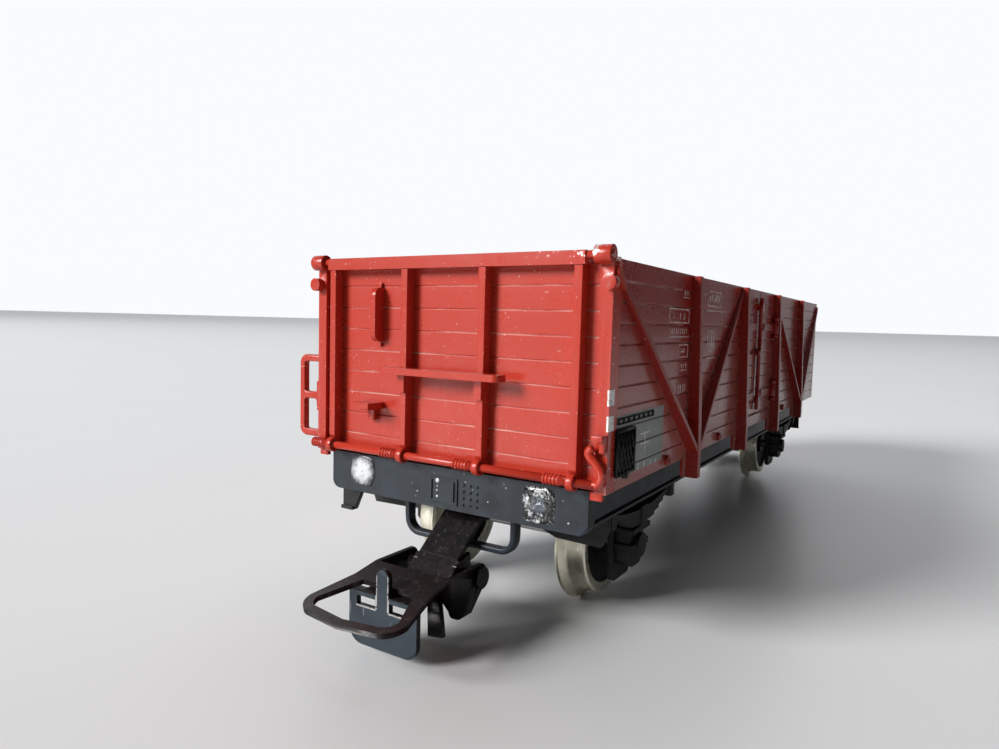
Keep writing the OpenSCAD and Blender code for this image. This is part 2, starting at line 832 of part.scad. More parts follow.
// Hooked lug on the right corner post, over the lever's tip
module lever_catch() {
  x0 = half_w - 0.5;
  color(paint) deck() at_end(false) {
    block([x0, -0.55, 3.3], [half_w - 0.05, 0, 4.7]);
    block([half_w - corner_w + 0.02, lever_y - 0.3, 4.25], [half_w - 0.05, 0, 4.7]);
  }
}

// ---- wheelsets ----

rim_r = tread_r - 1;

// Everything about an axle is drawn round its centre, turned to lie along X
module at_axle(far) {
  deck() at_end(far) translate([0, axle_in, axle_z]) rotate([0, 90, 0]) children();
}

module mirrored_z() {
  children();
  mirror([0, 0, 1]) children();
}

module axle(far) {
  color("silver") at_axle(far) {
    translate([0, 0, -guard_x + 0.3]) cylinder(h = 2 * guard_x - 0.6, r = axle_r);
    translate([0, 0, -axle_end]) cylinder(h = 2 * axle_end, r = journal_r);
  }
}

module axle_near() {
  axle(false);
}

module axle_far() {
  axle(true);
}

// Turned tyre with a coned tread and a rounded flange on its inner edge
module wheel_tyres(far) {
  f = flange_r;
  color([0.7, 0.68, 0.58]) at_axle(far) mirrored_z() translate([0, 0, wheel_in]) rotate_extrude($fn = 96)
    polygon([
      [rim_r, 0], [f - 0.45, 0], [f - 0.12, 0.12], [f, 0.34], [f - 0.06, 0.52], [f - 0.4, 0.72],
      [tread_r + 0.12, 0.86], [tread_r, 1.05], [tread_r - 0.12, wheel_w - 0.1],
      [tread_r - 0.22, wheel_w], [rim_r, wheel_w]
    ]);
}

module wheel_tyres_near() {
  wheel_tyres(false);
}

module wheel_tyres_far() {
  wheel_tyres(true);
}

// Dished disc with a hub, pressed on the axle
module wheel_discs(far) {
  r = rim_r - fit;
  hub = 1.5;
  color(black) at_axle(far) mirrored_z() translate([0, 0, wheel_in]) rotate_extrude($fn = 96)
    polygon([
      [axle_r + fit, -0.3], [hub, -0.3], [hub, 0.55], [r - 0.5, 0.8], [r, 0.2],
      [r, wheel_w - 0.25], [r - 0.45, wheel_w - 0.45], [hub + 0.2, wheel_w - 0.8],
      [hub, wheel_w - 0.1], [axle_r + fit, wheel_w - 0.1]
    ]);
}

module wheel_discs_near() {
  wheel_discs(false);
}

module wheel_discs_far() {
  wheel_discs(true);
}

// ---- couplers ----

rivet_in = 0.2;
rivet_z = -9.1;
hook_in = -7.8;
carrier_z = -9.52;
slope = 9.9;
ear_x = 3.65;

// Side outline of the shaft: tail under the pivot, slope past the stirrup, and carrier
shaft_line = [[pivot_in + 2.4, tail_z], [3.4, tail_z], [-0.4, -8.05], [-2.1, carrier_z + 0.05],
  [hook_in + 0.1, carrier_z + 0.06]];

// Strip of even height along the outline
module strip(points, h) {
  n = len(points);
  polygon(concat(
    [for (p = points) p + [0, h / 2]],
    [for (i = [n - 1:-1:0]) points[i] - [0, h / 2]]
  ));
}

module coupler(far) {
  ear_half = shaft_half + 0.3;
  color(black) deck() at_end(far) {
    difference() {
      union() {
        plate_x(-shaft_half, shaft_half) strip([for (i = [0:2]) shaft_line[i]], tail_t);
        plate_x(-ear_half, ear_half) strip([for (i = [2:4]) shaft_line[i]], 0.4);
        translate([0, 0, carrier_z - 0.14]) block([-hook_w / 2, hook_in, 0], [hook_w / 2, hook_in + 1, 0.36]);
        for (s = [-1, 1]) plate_x(s * ear_half - 0.45 / 2 - s * 0.225, s * ear_half + 0.225 - s * 0.225)
          polygon([
            [rivet_in - 1.1, -8.2], [rivet_in + 1, -7.5], [rivet_in + 1.1, rivet_z - 0.6],
            [rivet_in + 0.4, rivet_z - 1], [rivet_in - 0.6, rivet_z - 1], [rivet_in - 1.4, rivet_z - 0.2]
          ]);
      }
      translate([0, pivot_in, tail_z - 2]) cylinder(h = 4, r = pivot_r + run_gap);
      rod_x(-6, 6, rivet_in, rivet_z, rivet_r + fit);
    }
    hook_plate();
  }
}

// Upright plate with two windows, and a tongue that stands up through the loop
module hook_plate() {
  w = hook_w / 2;
  low = -13.75;
  win_low = -10.45;
  tongue = 0.64;
  win_x = w - 0.85;
  tip = -7.05;
  plate_y(hook_in, hook_in + 0.5) difference() {
    union() {
      polygon(concat(
        [[-w, carrier_z]], arc([1.4 - w, low + 1.4], 1.4, 180, 270),
        arc([w - 1.1, low + 1.1], 1.1, 270, 360), [[w, carrier_z]]
      ));
      polygon(concat([[-tongue, -10.5]], arc([0, tip - tongue], tongue, 180, 0, 10), [[tongue, -10.5]]));
    }
    for (s = [-1, 1]) translate([s * (win_x + tongue + 0.1) / 2 - (win_x - tongue - 0.1) / 2, win_low])
      square([win_x - tongue - 0.1, carrier_z - 0.14 - win_low]);
  }
}

module coupler_near() {
  coupler(false);
}

module coupler_far() {
  coupler(true);
}

// Outline of the loop in its own plane; v runs outwards from the rivet
function loop_outer() = concat(
  [[3.3, 4], [ear_x + sheet_t, 4], [ear_x + sheet_t, 6.6]],
  arc([loop_half - 1.9, loop_reach - 2.2], 1.9, 0, 75),
  [[0, loop_reach + 0.05]],
  arc([1.9 - loop_half, loop_reach - 2.2], 1.9, 105, 180),
  [[-ear_x - sheet_t, 6.6], [-ear_x - sheet_t, 4], [-3.3, 4]]
);

function loop_inner() = concat(
  arc([loop_half - 1.95, loop_reach - 2.25], 1.15, 0, 75),
  [[0, loop_reach - 0.7]],
  arc([1.95 - loop_half, loop_reach - 2.25], 1.15, 105, 180),
  [[-2.75, 7.1], [2.75, 7.1]]
);

// Ear outline: a round top at the rivet, and a lobe that the lifting ramp pushes
module ear(low) {
  c = [rivet_in, rivet_z];
  polygon(concat(
    arc(c, 1.2, 60, -40), [[-0.9, low]], arc([-2.6, low + 1.1], 1.1, 270, 190),
    [[-5.5, -8.75], [-3.9, -8.05]]
  ));
}

module coupler_loop(far) {
  color(black) deck() at_end(far) difference() {
    union() {
      translate([0, 0, -8.25]) translate([0, -3.8, 0]) rotate([slope, 0, 0]) translate([0, 3.8, -sheet_t / 2])
        linear_extrude(height = sheet_t) mirror([0, 1]) difference() {
          polygon(loop_outer());
          polygon(loop_inner());
        }
      plate_x(ear_x, ear_x + sheet_t) ear(-11.9);
      plate_x(-ear_x - sheet_t, -ear_x) ear(-10.8);
      plate_y(-5.45, -5) polygon([[2.75, -8.7], [3.9, -8.7], [4.4, -12.4], [2.9, -12.6]]);
    }
    rod_x(-6, 6, rivet_in, rivet_z, rivet_r + run_gap);
  }
}

module coupler_loop_near() {
  coupler_loop(false);
}

module coupler_loop_far() {
  coupler_loop(true);
}

module loop_rivet(far) {
  head = ear_x + sheet_t + 0.05;
  color("dimgray") deck() at_end(far) {
    rod_x(-head - 0.6, head + 0.1, rivet_in, rivet_z, rivet_r);
    rod_x(head, head + 0.35, rivet_in, rivet_z, 0.95);
  }
}

module loop_rivet_near() {
  loop_rivet(false);
}

module loop_rivet_far() {
  loop_rivet(true);
}

underframe();
solebar_right();
solebar_left();
buffer_beam_near();
buffer_beam_far();
drawgear_plates();
buffer_stumps_near();
buffers_far();
axle_guards_near();
axle_guards_far();
axle_boxes_near();
axle_boxes_far();
leaf_springs_near();
leaf_springs_far();
coupler_stirrups();
coupler_pivot_screws();
body_screws();
shunter_steps();
load_floor();
side_wall_right_near();
side_wall_right_far();
side_wall_left_near();
side_wall_left_far();
corner_posts();
side_posts();
side_braces();
door_sills();
door_pintles();
door_right_near();
door_right_far();
door_left_near();
door_left_far();
door_latch_right();
door_latch_left();
end_wall_far();
end_frame_far();
flap_planks();
flap_stanchions();
flap_rail();
flap_step_board();
flap_foot_step();
flap_grip();
lock_bearings();
lock_shaft();
lever_catch();
grab_handles();
label_boards();
tie_bosses();
axle_near();
axle_far();
wheel_tyres_near();
wheel_tyres_far();
wheel_discs_near();
wheel_discs_far();
coupler_near();
coupler_far();
coupler_loop_near();
coupler_loop_far();
loop_rivet_near();
loop_rivet_far();
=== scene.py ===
# %% [markdown]
# # A two-axle open goods wagon, H0 scale
#
# The CAD model is the frame: it holds every body, joint and size. This lesson
# loads it, gives each part a procedural finish, and adds the small pieces that
# are easier to make as meshes than as CAD solids. Blender never moves or
# reshapes a CAD part here.

# %% Load the frame
import json
import math

import bmesh
import bpy
from mathutils import Matrix, Vector, noise


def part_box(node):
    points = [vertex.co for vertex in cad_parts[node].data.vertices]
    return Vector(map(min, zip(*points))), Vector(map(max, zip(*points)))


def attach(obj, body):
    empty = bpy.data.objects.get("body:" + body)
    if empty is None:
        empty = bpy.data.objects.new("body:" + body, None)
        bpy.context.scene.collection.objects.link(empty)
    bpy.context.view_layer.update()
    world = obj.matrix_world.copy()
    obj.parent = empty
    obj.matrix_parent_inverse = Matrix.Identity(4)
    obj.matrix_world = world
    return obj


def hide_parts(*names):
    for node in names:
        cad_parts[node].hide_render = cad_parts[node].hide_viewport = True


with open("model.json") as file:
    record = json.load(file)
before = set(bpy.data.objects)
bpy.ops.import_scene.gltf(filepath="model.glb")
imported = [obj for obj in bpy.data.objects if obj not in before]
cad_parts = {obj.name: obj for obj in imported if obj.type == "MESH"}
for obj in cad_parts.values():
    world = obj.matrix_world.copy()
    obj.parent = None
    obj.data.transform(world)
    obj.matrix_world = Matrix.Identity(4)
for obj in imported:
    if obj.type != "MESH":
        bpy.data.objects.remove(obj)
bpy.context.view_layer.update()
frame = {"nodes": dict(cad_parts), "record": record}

nodes = frame["nodes"]

# %% [markdown]
# ## The sizes that the finishes need
#
# Everything below is worked out in millimetres, because the wagon is small, and
# turned into metres only where a mesh is made. The sizes are read from the CAD
# nodes, so they follow the frame. The wagon's length runs along y, its width
# along x and its height along z, and its near end is the one at the lowest y.

# %% Sizes in millimetres
MM = 0.001


def box_mm(node):
    """The lowest and highest corners of a CAD node, in millimetres."""
    low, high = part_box(node)
    return low / MM, high / MM


wall_low, wall_high = box_mm("side_wall_right_near")
DECK_Z, WALL_TOP, HALF_WIDTH = wall_low.z, wall_high.z, wall_high.x
WALL_HEIGHT = WALL_TOP - DECK_Z
SIDE_PLANKS, END_PLANKS = 11, 9
END_Y = box_mm("corner_posts")[1].y
BEAM_FACE = box_mm("buffer_beam_near")[0].y
PLATE_FACE = box_mm("drawgear_plates")[0].y
HOOK_FACE = -box_mm("coupler_near")[0].y
axle_low, axle_high = box_mm("axle_near")
AXLE = (axle_low + axle_high) / 2
print("deck", round(DECK_Z, 2), "half width", round(HALF_WIDTH, 2), "end", round(END_Y, 2))

# %% [markdown]
# ## Shader maths that reads like arithmetic
#
# A shader is a graph of nodes, and drawing that graph link by link hides what it
# works out. This class wraps one output socket and overloads the operators, so
# `1 - mask` adds a Math node and gives back its output. Any other kind of node
# comes from one method that takes the node's type, its settings and its inputs.


# %% A socket with operators
class Wire:
    """The output of a shader node, used as a number, colour or vector."""

    def __init__(self, socket):
        self.socket = socket
        self.tree = socket.id_data

    def node(self, kind, settings=None, inputs=None, out=0):
        return make_node(self.tree, kind, settings, inputs, out)

    def maths(self, operation, *values, clamp=False):
        settings = {"operation": operation, "use_clamp": clamp}
        return self.node("ShaderNodeMath", settings, dict(enumerate(values)))

    def __add__(self, other):
        return self.maths("ADD", self, other)

    def __sub__(self, other):
        return self.maths("SUBTRACT", self, other)

    def __rsub__(self, other):
        return self.maths("SUBTRACT", other, self)

    def __mul__(self, other):
        return self.maths("MULTIPLY", self, other)

    def __truediv__(self, other):
        return self.maths("DIVIDE", self, other)

    __radd__, __rmul__ = __add__, __mul__

    def abs(self):
        return self.maths("ABSOLUTE", self)

    def power(self, exponent):
        return self.maths("POWER", self, exponent)

    def sine(self):
        return self.maths("SINE", self)

    def fraction(self):
        return self.maths("FRACT", self)

    def most(self, other):
        return self.maths("MAXIMUM", self, other)

    def ramp(self, low, high):
        """0 below low and 1 above high, with a straight slope between them."""
        slope = 1 / (high - low)
        return self.maths("MULTIPLY_ADD", self, slope, -low * slope, clamp=True)

    def within(self, low, high, soft):
        """1 between low and high, fading over the soft distance outside."""
        return self.ramp(low - soft, low) * (1 - self.ramp(high, high + soft))


def make_node(tree, kind, settings=None, inputs=None, out=0):
    """A node, with its settings first and then the values or links of its sockets."""
    node = tree.nodes.new(kind)
    for name, value in (settings or {}).items():
        setattr(node, name, value)
    for name, value in (inputs or {}).items():
        socket = node.inputs[name]
        if isinstance(value, Wire):
            tree.links.new(value.socket, socket)
        elif isinstance(value, tuple) and socket.type == "RGBA":
            socket.default_value = (*value, 1)
        else:
            socket.default_value = value
    return Wire(node.outputs[out])


print("Wire is ready")

# %% [markdown]
# ## Colours, noise and masks in millimetres
#
# A finish on a small model lives at a tenth of a millimetre: specks of dust,
# grains in the paint, a bright chip on an edge. All patterns read the object's
# own coordinates, scaled to millimetres, so a pattern keeps its size and stays
# put when a part swings. The class below holds the point on the surface and the
# patterns that can be read there.


# %% The place on the surface
class Place:
    """The point on the surface, in millimetres, with patterns that are read there."""

    def __init__(self, tree):
        point = make_node(tree, "ShaderNodeTexCoord", out="Object")
        inputs = {0: point, "Scale": 1 / MM}
        self.point = point.node("ShaderNodeVectorMath", {"operation": "SCALE"}, inputs)
        self.x, self.y, self.z = self.parts(self.point)
        self.up = self.parts(make_node(tree, "ShaderNodeNewGeometry", out="Normal"))[2]

    def parts(self, vector):
        """The three numbers of a vector."""
        split = "ShaderNodeSeparateXYZ"
        return [vector.node(split, inputs={0: vector}, out=axis) for axis in "XYZ"]

    def noise(self, per_mm, detail=3.0, rough=0.55, stretch=(1, 1, 1), shift=0.0):
        inputs = {0: self.point, "Scale": stretch, "Location": (shift, shift, shift)}
        moved = self.point.node("ShaderNodeMapping", inputs=inputs)
        inputs = {"Vector": moved, "Scale": per_mm, "Detail": detail, "Roughness": rough}
        return moved.node("ShaderNodeTexNoise", inputs=inputs)

    def specks(self, per_mm, size, share):
        """Small round specks, on about the given share of a grid of cells."""
        kind, inputs = "ShaderNodeTexVoronoi", {"Vector": self.point, "Scale": per_mm}
        near = 1 - self.point.node(kind, inputs=inputs).ramp(size * 0.5, size)
        colour = self.point.node(kind, inputs=inputs, out="Color")
        chance = colour.node("ShaderNodeSeparateColor", inputs={0: colour})
        return near * chance.ramp(1 - share, 1 - share + 0.02)


print("Place is ready")

# %% [markdown]
# ## Putting a finish together
#
# A finish is a function that gets the main shader and the place on the surface,
# works out its tones and masks, and plugs them in. Colours are blended with a Mix
# node, because a Math node would turn them grey. A value that is the same all
# over goes straight onto its socket, without a node.


# %% Helpers for finishes
def blend_colour(factor, first, second):
    """A colour that goes from first, where the factor is 0, to second, where it is 1."""
    factor_in, first_in, second_in, colour_out = 0, 6, 7, 2
    inputs = {factor_in: factor, first_in: first, second_in: second}
    return factor.node("ShaderNodeMix", {"data_type": "RGBA"}, inputs, colour_out)


def plug(shader, **values):
    """Sets sockets of the shader by name; a Wire is linked and a plain value is written."""
    for name, value in values.items():
        socket = shader.inputs[name.replace("_", " ")]
        if isinstance(value, Wire):
            socket.id_data.links.new(value.socket, socket)
        else:
            socket.default_value = value


def bumped(height, distance, strength):
    """A normal that follows the height, over a distance in millimetres."""
    inputs = {"Height": height, "Distance": distance * MM, "Strength": strength}
    return height.node("ShaderNodeBump", inputs=inputs)


def finish_of(name, build):
    """A new material; build() gets its main shader and the place on the surface."""
    material = bpy.data.materials.new(name)
    material.use_nodes = True
    tree = material.node_tree
    build(tree.nodes["Principled BSDF"], Place(tree))
    print("made the finish", name)
    return material


print("finish helpers are ready")

# %% [markdown]
# ## Where the paint wears, and where the planks meet
#
# A finish is easier to read when each thing that varies is a mask of its own, 1
# where it holds and 0 elsewhere. The planks are told from the ribs in front of
# them by how far out they lie, and the grooves between planks by their height.
# Each mask fades in over a short distance, given as where it is 0 and where 1.

# %% Masks for the body
SIDE_FROM, SIDE_RIBS_FROM = (HALF_WIDTH - 0.3, HALF_WIDTH - 0.2), (HALF_WIDTH + 0.1, HALF_WIDTH + 0.14)
END_POSTS_FROM = (END_Y - 1.75, END_Y - 1.6)
END_PLANKS_FROM, END_RIBS_FROM = (END_Y - 0.75, END_Y - 0.7), (END_Y - 0.3, END_Y - 0.25)


def on_side_planks(place):
    """1 on the planks of the long sides and 0 on the ribs that stand out from them."""
    out = place.x.abs()
    return out.ramp(*SIDE_FROM) * (1 - out.ramp(*SIDE_RIBS_FROM))


def on_long_side(place):
    """1 on the long sides, with their ribs and braces, and 0 on the ends."""
    return place.x.abs().ramp(*SIDE_FROM) * (1 - place.y.abs().ramp(*END_POSTS_FROM))


def on_end_planks(place):
    """1 on the planks of the two ends and 0 on the ribs that stand out from them."""
    out = place.y.abs()
    return out.ramp(*END_PLANKS_FROM) * (1 - out.ramp(*END_RIBS_FROM))


def groove_lines(place, planks, width):
    """Thin lines where two planks meet; width is a share of a plank."""
    phase = ((place.z - DECK_Z) / (WALL_HEIGHT / planks) + 0.5).fraction()
    return 1 - (phase - 0.5).abs().ramp(width * 0.5, width)


def chipped_rim(place):
    """1 where handling has worn the paint through, on the rim at the near right corner."""
    worn = place.noise(1.6, detail=4).ramp(0.56, 0.62)
    rim = place.z.ramp(WALL_TOP - 0.05, WALL_TOP + 0.1)
    near = 1 - place.y.ramp(-END_Y + 0.2, -END_Y + 0.6)
    right = place.x.ramp(8.0, 14.0)
    return worn * rim * near * right


print("masks for", SIDE_PLANKS, "side planks and", END_PLANKS, "end planks")

# %% [markdown]
# ## Red body paint
#
# The body is a casting painted brick red, semi-gloss, a little thick at the edges. Years of handling left
# tiny white specks and bare metal at one corner. Pale lines along the plank grooves are partly dust and
# partly painted highlight. The sides are painted darker than the end as painted shade, and pinkish low down
# as a painted reflection of the bright floor. A clear coat on the side planks alone gives them the gloss in
# which the bright floor shows. The layers go on in this order: paint, painted shade and reflection, grooves,
# specks, bare metal.

# %% Body paint
RED, RED_PATCH, SIDE_SHADE_RED = (0.45, 0.034, 0.017), (0.351, 0.0265, 0.0133), (0.23, 0.012, 0.009)
FLOOR_REFLECTION_PINK, GROOVE_DUST_AND_HIGHLIGHT, SPECK = (0.5, 0.25, 0.21), (0.85, 0.6, 0.52), (0.85, 0.66, 0.58)
BARE = (0.72, 0.68, 0.66)
COAT_AT_DECK, COAT_AT_RIM = 0.4, 0.2
# Specks: how many cells in a millimetre, the size in a cell, the share of cells.
SMALL_SPECKS, MEDIUM_SPECKS, RARE_SPECKS = (3.3, 0.17, 0.14), (1.5, 0.1, 0.28), (0.8, 0.06, 0.5)


def body_paint(shader, place):
    mottled = place.noise(0.35, detail=5).ramp(0.3, 0.7)
    fine = place.noise(5.0, detail=2)
    planks, side = on_side_planks(place), on_long_side(place)
    high = place.z.ramp(DECK_Z + 1, DECK_Z + 13)

    tone = blend_colour(mottled * 0.4, RED, RED_PATCH)
    # Painted shade: the long sides are painted a deeper red than the end, as if they lay in shade.
    tone = blend_colour(side * 0.75, tone, SIDE_SHADE_RED)
    # Painted reflection: the side planks turn pinkish towards the deck, as if the bright floor showed in
    # their gloss, and the noise streaks it.
    film = place.noise(0.9, detail=5, stretch=(1, 0.25, 1)).ramp(0.2, 0.7) * 0.5 + 0.5
    tone = blend_colour((1 - high) * side * planks * film * 0.55, tone, FLOOR_REFLECTION_PINK)

    # The pale lines along the plank grooves are partly dust and partly painted highlight on the groove edges.
    streak = place.noise(0.6, detail=4, stretch=(1, 0.3, 1), shift=9.0).ramp(0.45, 0.7)
    side_line = groove_lines(place, SIDE_PLANKS, 0.06) * high * streak * side * planks
    end_streak = place.noise(0.5, detail=4, stretch=(0.3, 1, 1), shift=4.0).ramp(0.42, 0.62)
    end_line = groove_lines(place, END_PLANKS, 0.032) * end_streak * on_end_planks(place)
    tone = blend_colour(side_line.most(end_line) * 0.55, tone, GROOVE_DUST_AND_HIGHLIGHT)

    specks = place.specks(*MEDIUM_SPECKS).most(place.specks(*SMALL_SPECKS)).most(place.specks(*RARE_SPECKS))
    tone = blend_colour(specks * 0.7, tone, SPECK)
    bare = chipped_rim(place)
    tone = blend_colour(bare, tone, BARE)

    rough = fine * 0.1 + mottled * 0.1 + 0.2 + specks * 0.2
    grain = fine * 0.4 + place.noise(1.1, detail=3)
    plug(shader, Base_Color=tone, Roughness=rough, Metallic=bare * 0.9, Specular_IOR_Level=0.35)
    plug(shader, Normal=bumped(grain, 0.02, 0.35))
    coat = planks * (COAT_AT_DECK - high * (COAT_AT_DECK - COAT_AT_RIM))
    plug(shader, Coat_Weight=coat, Coat_Roughness=0.14, Coat_IOR=1.8)


red_paint = finish_of("red body paint", body_paint)

# %% [markdown]
# ## The darker finishes
#
# The chassis is a blue-grey casting, the running gear is black plastic, and the
# screws are dull steel. All of them are one recipe, so one function makes them: a
# base tone, a second tone in large soft patches, dust on what faces up, pale
# specks, and a fine grain that feeds a bump.

# %% Dark finishes
SETTLED_DUST, PALE_SPECK = (0.3, 0.29, 0.28), (0.5, 0.48, 0.45)


def dark_finish(name, base, second, gloss, metal=0.0, dust=0.25):
    def build(shader, place):
        patches = place.noise(0.5, detail=5).ramp(0.35, 0.7)
        fine = place.noise(6.0, detail=3)
        settled = place.up.ramp(0.5, 1.0) * place.noise(2.0).ramp(0.4, 0.8)
        specks = place.specks(1.6, 0.14, 0.2).most(place.specks(0.9, 0.08, 0.5))
        tone = blend_colour(patches, base, second)
        tone = blend_colour(settled * dust, tone, SETTLED_DUST)
        tone = blend_colour(specks * dust, tone, PALE_SPECK)
        plug(shader, Base_Color=tone, Roughness=fine * 0.15 + gloss)
        plug(shader, Metallic=metal, Specular_IOR_Level=0.3, Normal=bumped(fine, 0.02, 0.3))
    return finish_of(name, build)


chassis_grey = dark_finish("chassis blue-grey", (0.02, 0.028, 0.038), (0.008, 0.01, 0.013), 0.34, dust=0.35)
gear_black = dark_finish("running gear black", (0.006, 0.006, 0.0065), (0.012, 0.011, 0.01), 0.45, dust=0.05)
step_black = dark_finish("hanger black", (0.008, 0.008, 0.009), (0.016, 0.014, 0.013), 0.38, dust=0.1)
screw_steel = dark_finish("screw steel", (0.5, 0.5, 0.5), (0.38, 0.37, 0.35), 0.32, metal=1.0, dust=0.1)

# %% [markdown]
# ## Blackened couplers
#
# The coupler is stamped from sheet steel and blackened, with a brown tint where
# the oxide is thick. The hook plate hangs in front and catches the light, so it
# looks blue-grey, and the edges of its tongue and windows are rubbed bright. The
# plate is picked out by how far out it lies, and its edges by their place on it.

# %% Coupler finish
COUPLER_BLACK, OXIDE_BROWN, PLATE_GREY = (0.006, 0.0055, 0.006), (0.02, 0.012, 0.013), (0.03, 0.043, 0.056)
RUBBED, HANDLED = (0.4, 0.38, 0.37), (0.32, 0.31, 0.3)
# The rubbed edges: how far they lie from the middle, and their height over the deck.
TONGUE_SIDES, TONGUE_HEIGHTS = (0.56, 0.72), (-10.4, -7.3)
WINDOW_SIDES, WINDOW_SILL = (0.7, 2.8), (-10.56, -10.42)


def coupler_metal(shader, place):
    patches = place.noise(0.8, detail=6, rough=0.65).ramp(0.4, 0.65)
    grit = place.noise(4.0, detail=5, rough=0.7)
    out, height, off_middle = place.y.abs(), place.z - DECK_Z, place.x.abs()
    plate = out.ramp(HOOK_FACE - 0.12, HOOK_FACE - 0.06) * (1 - out.ramp(HOOK_FACE + 0.02, HOOK_FACE + 0.06))
    tone = blend_colour(patches, COUPLER_BLACK, OXIDE_BROWN)
    tone = blend_colour(plate * 0.85, tone, PLATE_GREY)

    tongue_edge = off_middle.within(*TONGUE_SIDES, 0.02) * height.within(*TONGUE_HEIGHTS, 0.05)
    window_edge = height.within(*WINDOW_SILL, 0.02) * off_middle.within(*WINDOW_SIDES, 0.05)
    rubbed = tongue_edge.most(window_edge) * plate * place.noise(3.5, detail=3).ramp(0.35, 0.5)
    scratches = place.noise(3.0, detail=2, stretch=(1, 1, 0.12)).ramp(0.68, 0.72) * plate
    tone = blend_colour(rubbed.most(scratches * 0.3), tone, RUBBED)
    handled = place.noise(2.2, detail=6, rough=0.8).ramp(0.56, 0.68) * place.up.ramp(0.4, 0.8)
    tone = blend_colour(handled * 0.3, tone, HANDLED)

    plug(shader, Base_Color=tone, Roughness=grit * 0.35 + 0.22, Metallic=plate * 0.3 + 0.35)
    plug(shader, Normal=bumped(grit, 0.04, 0.5))


coupler_black = finish_of("coupler blackened steel", coupler_metal)

# %% [markdown]
# ## The rivet that holds the loop
#
# The rivet is blackened with the coupler, but its left head was filed flat after
# that and is bright. One mask on x is enough to tell the two heads apart.

# %% Rivet finish
FILED_HEAD_X = -2.5


def rivet_metal(shader, place):
    bright = 1 - place.x.ramp(FILED_HEAD_X - 0.1, FILED_HEAD_X)
    grit = place.noise(4.0, detail=4)
    tone = blend_colour(bright, (0.008, 0.007, 0.008), (0.55, 0.53, 0.5))
    plug(shader, Base_Color=tone, Metallic=0.6, Roughness=grit * 0.3 + 0.2)
    plug(shader, Normal=bumped(grit, 0.02, 0.4))


rivet_look = finish_of("rivet black with a bright head", rivet_metal)

# %% [markdown]
# ## Turned nickel tyres
#
# Tyres are turned on a lathe, so the finish is rings round the axle: the bump and
# the roughness follow the distance from the axle, through a sine. Running has
# left a dull brown film in patches. Both axles lie equally far from the middle of
# the wagon, so the distance along it without its sign serves them both.

# %% Tyre finish
NICKEL, BROWN_FILM = (0.85, 0.82, 0.68), (0.5, 0.45, 0.33)


def tyre_metal(shader, place):
    across, height = place.y.abs() - abs(AXLE.y), place.z - AXLE.z
    radius = (across.power(2.0) + height.power(2.0)).power(0.5)
    rings = (radius * 60.0).sine() * 0.5 + 0.5
    film = place.noise(0.9, detail=5).ramp(0.35, 0.75)
    tone = blend_colour(film * 0.6, NICKEL, BROWN_FILM)
    plug(shader, Base_Color=tone, Metallic=1.0, Roughness=film * 0.2 + rings * 0.06 + 0.22)
    plug(shader, Normal=bumped(rings, 0.01, 0.25))


tyre_nickel = finish_of("tyre nickel", tyre_metal)

# %% [markdown]
# ## Rounding the edges of a CAD part
#
# A CAD mesh has hard knife edges, and no real edge is that sharp: light catches
# even a small round. A weld joins the split corners, a narrow bevel rounds them,
# and weighted normals keep the flat faces flat. These are modifiers, so the CAD
# mesh itself stays as it is.

# %% Softened edges
BEVEL, BEVEL_FROM = 0.06, math.radians(28)
OTHER_BEVEL = {
    "grab_handles": 0.2, "coupler_loop_near": 0.13, "coupler_loop_far": 0.13, "flap_grip": 0.15,
    "coupler_near": 0.05, "coupler_far": 0.05, "coupler_stirrups": 0.15,
}


def soften(piece, width):
    """Rounds the edges of a piece; width is in millimetres."""
    mesh = piece.data
    if "custom_normal" in mesh.attributes:
        mesh.attributes.remove(mesh.attributes["custom_normal"])
    mesh.shade_smooth()
    weld = piece.modifiers.new("weld", "WELD")
    weld.merge_threshold = 0.002 * MM
    bevel = piece.modifiers.new("bevel", "BEVEL")
    bevel.width, bevel.segments = width * MM, 2
    bevel.limit_method, bevel.angle_limit = "ANGLE", BEVEL_FROM
    bevel.miter_outer = "MITER_ARC"
    piece.modifiers.new("normals", "WEIGHTED_NORMAL").keep_sharp = False


print("bevel", BEVEL, "mm, and other widths for", len(OTHER_BEVEL), "parts")

# %% [markdown]
# ## Giving each CAD part its finish
#
# The record names a material slot for every CAD part, so the finish is chosen by
# slot, and a new part in the CAD model gets its finish without a line here. A few
# parts differ from their slot: the hangers and the far buffers are plain black,
# and the rivets have the finish of their own.

# %% Finishes on the CAD parts
FINISH_OF_SLOT = {
    "red_paint": red_paint,
    "grey_paint": chassis_grey,
    "black_paint": coupler_black,
    "black_plastic": gear_black,
    "wheel_metal": tyre_nickel,
    "screw_steel": screw_steel,
}
OWN_FINISH = {
    "shunter_steps": step_black,
    "buffers_far": step_black,
    "loop_rivet_near": rivet_look,
    "loop_rivet_far": rivet_look,
}
slot_of = {row["node"]: row["material_slot"] for row in frame["record"]["subparts"]}

for name, part in nodes.items():
    part.data.materials.clear()
    part.data.materials.append(OWN_FINISH.get(name, FINISH_OF_SLOT[slot_of[name]]))
    soften(part, OTHER_BEVEL.get(name, BEVEL))
print("finished", len(nodes), "CAD parts")

# %% [markdown]
# ## Small meshes
#
# The loose details are made with bmesh, which builds a mesh from points and
# faces. One helper adds a box and one adds a tube, both in millimetres, and the
# last turns what was collected into a piece that rides on a CAD body.


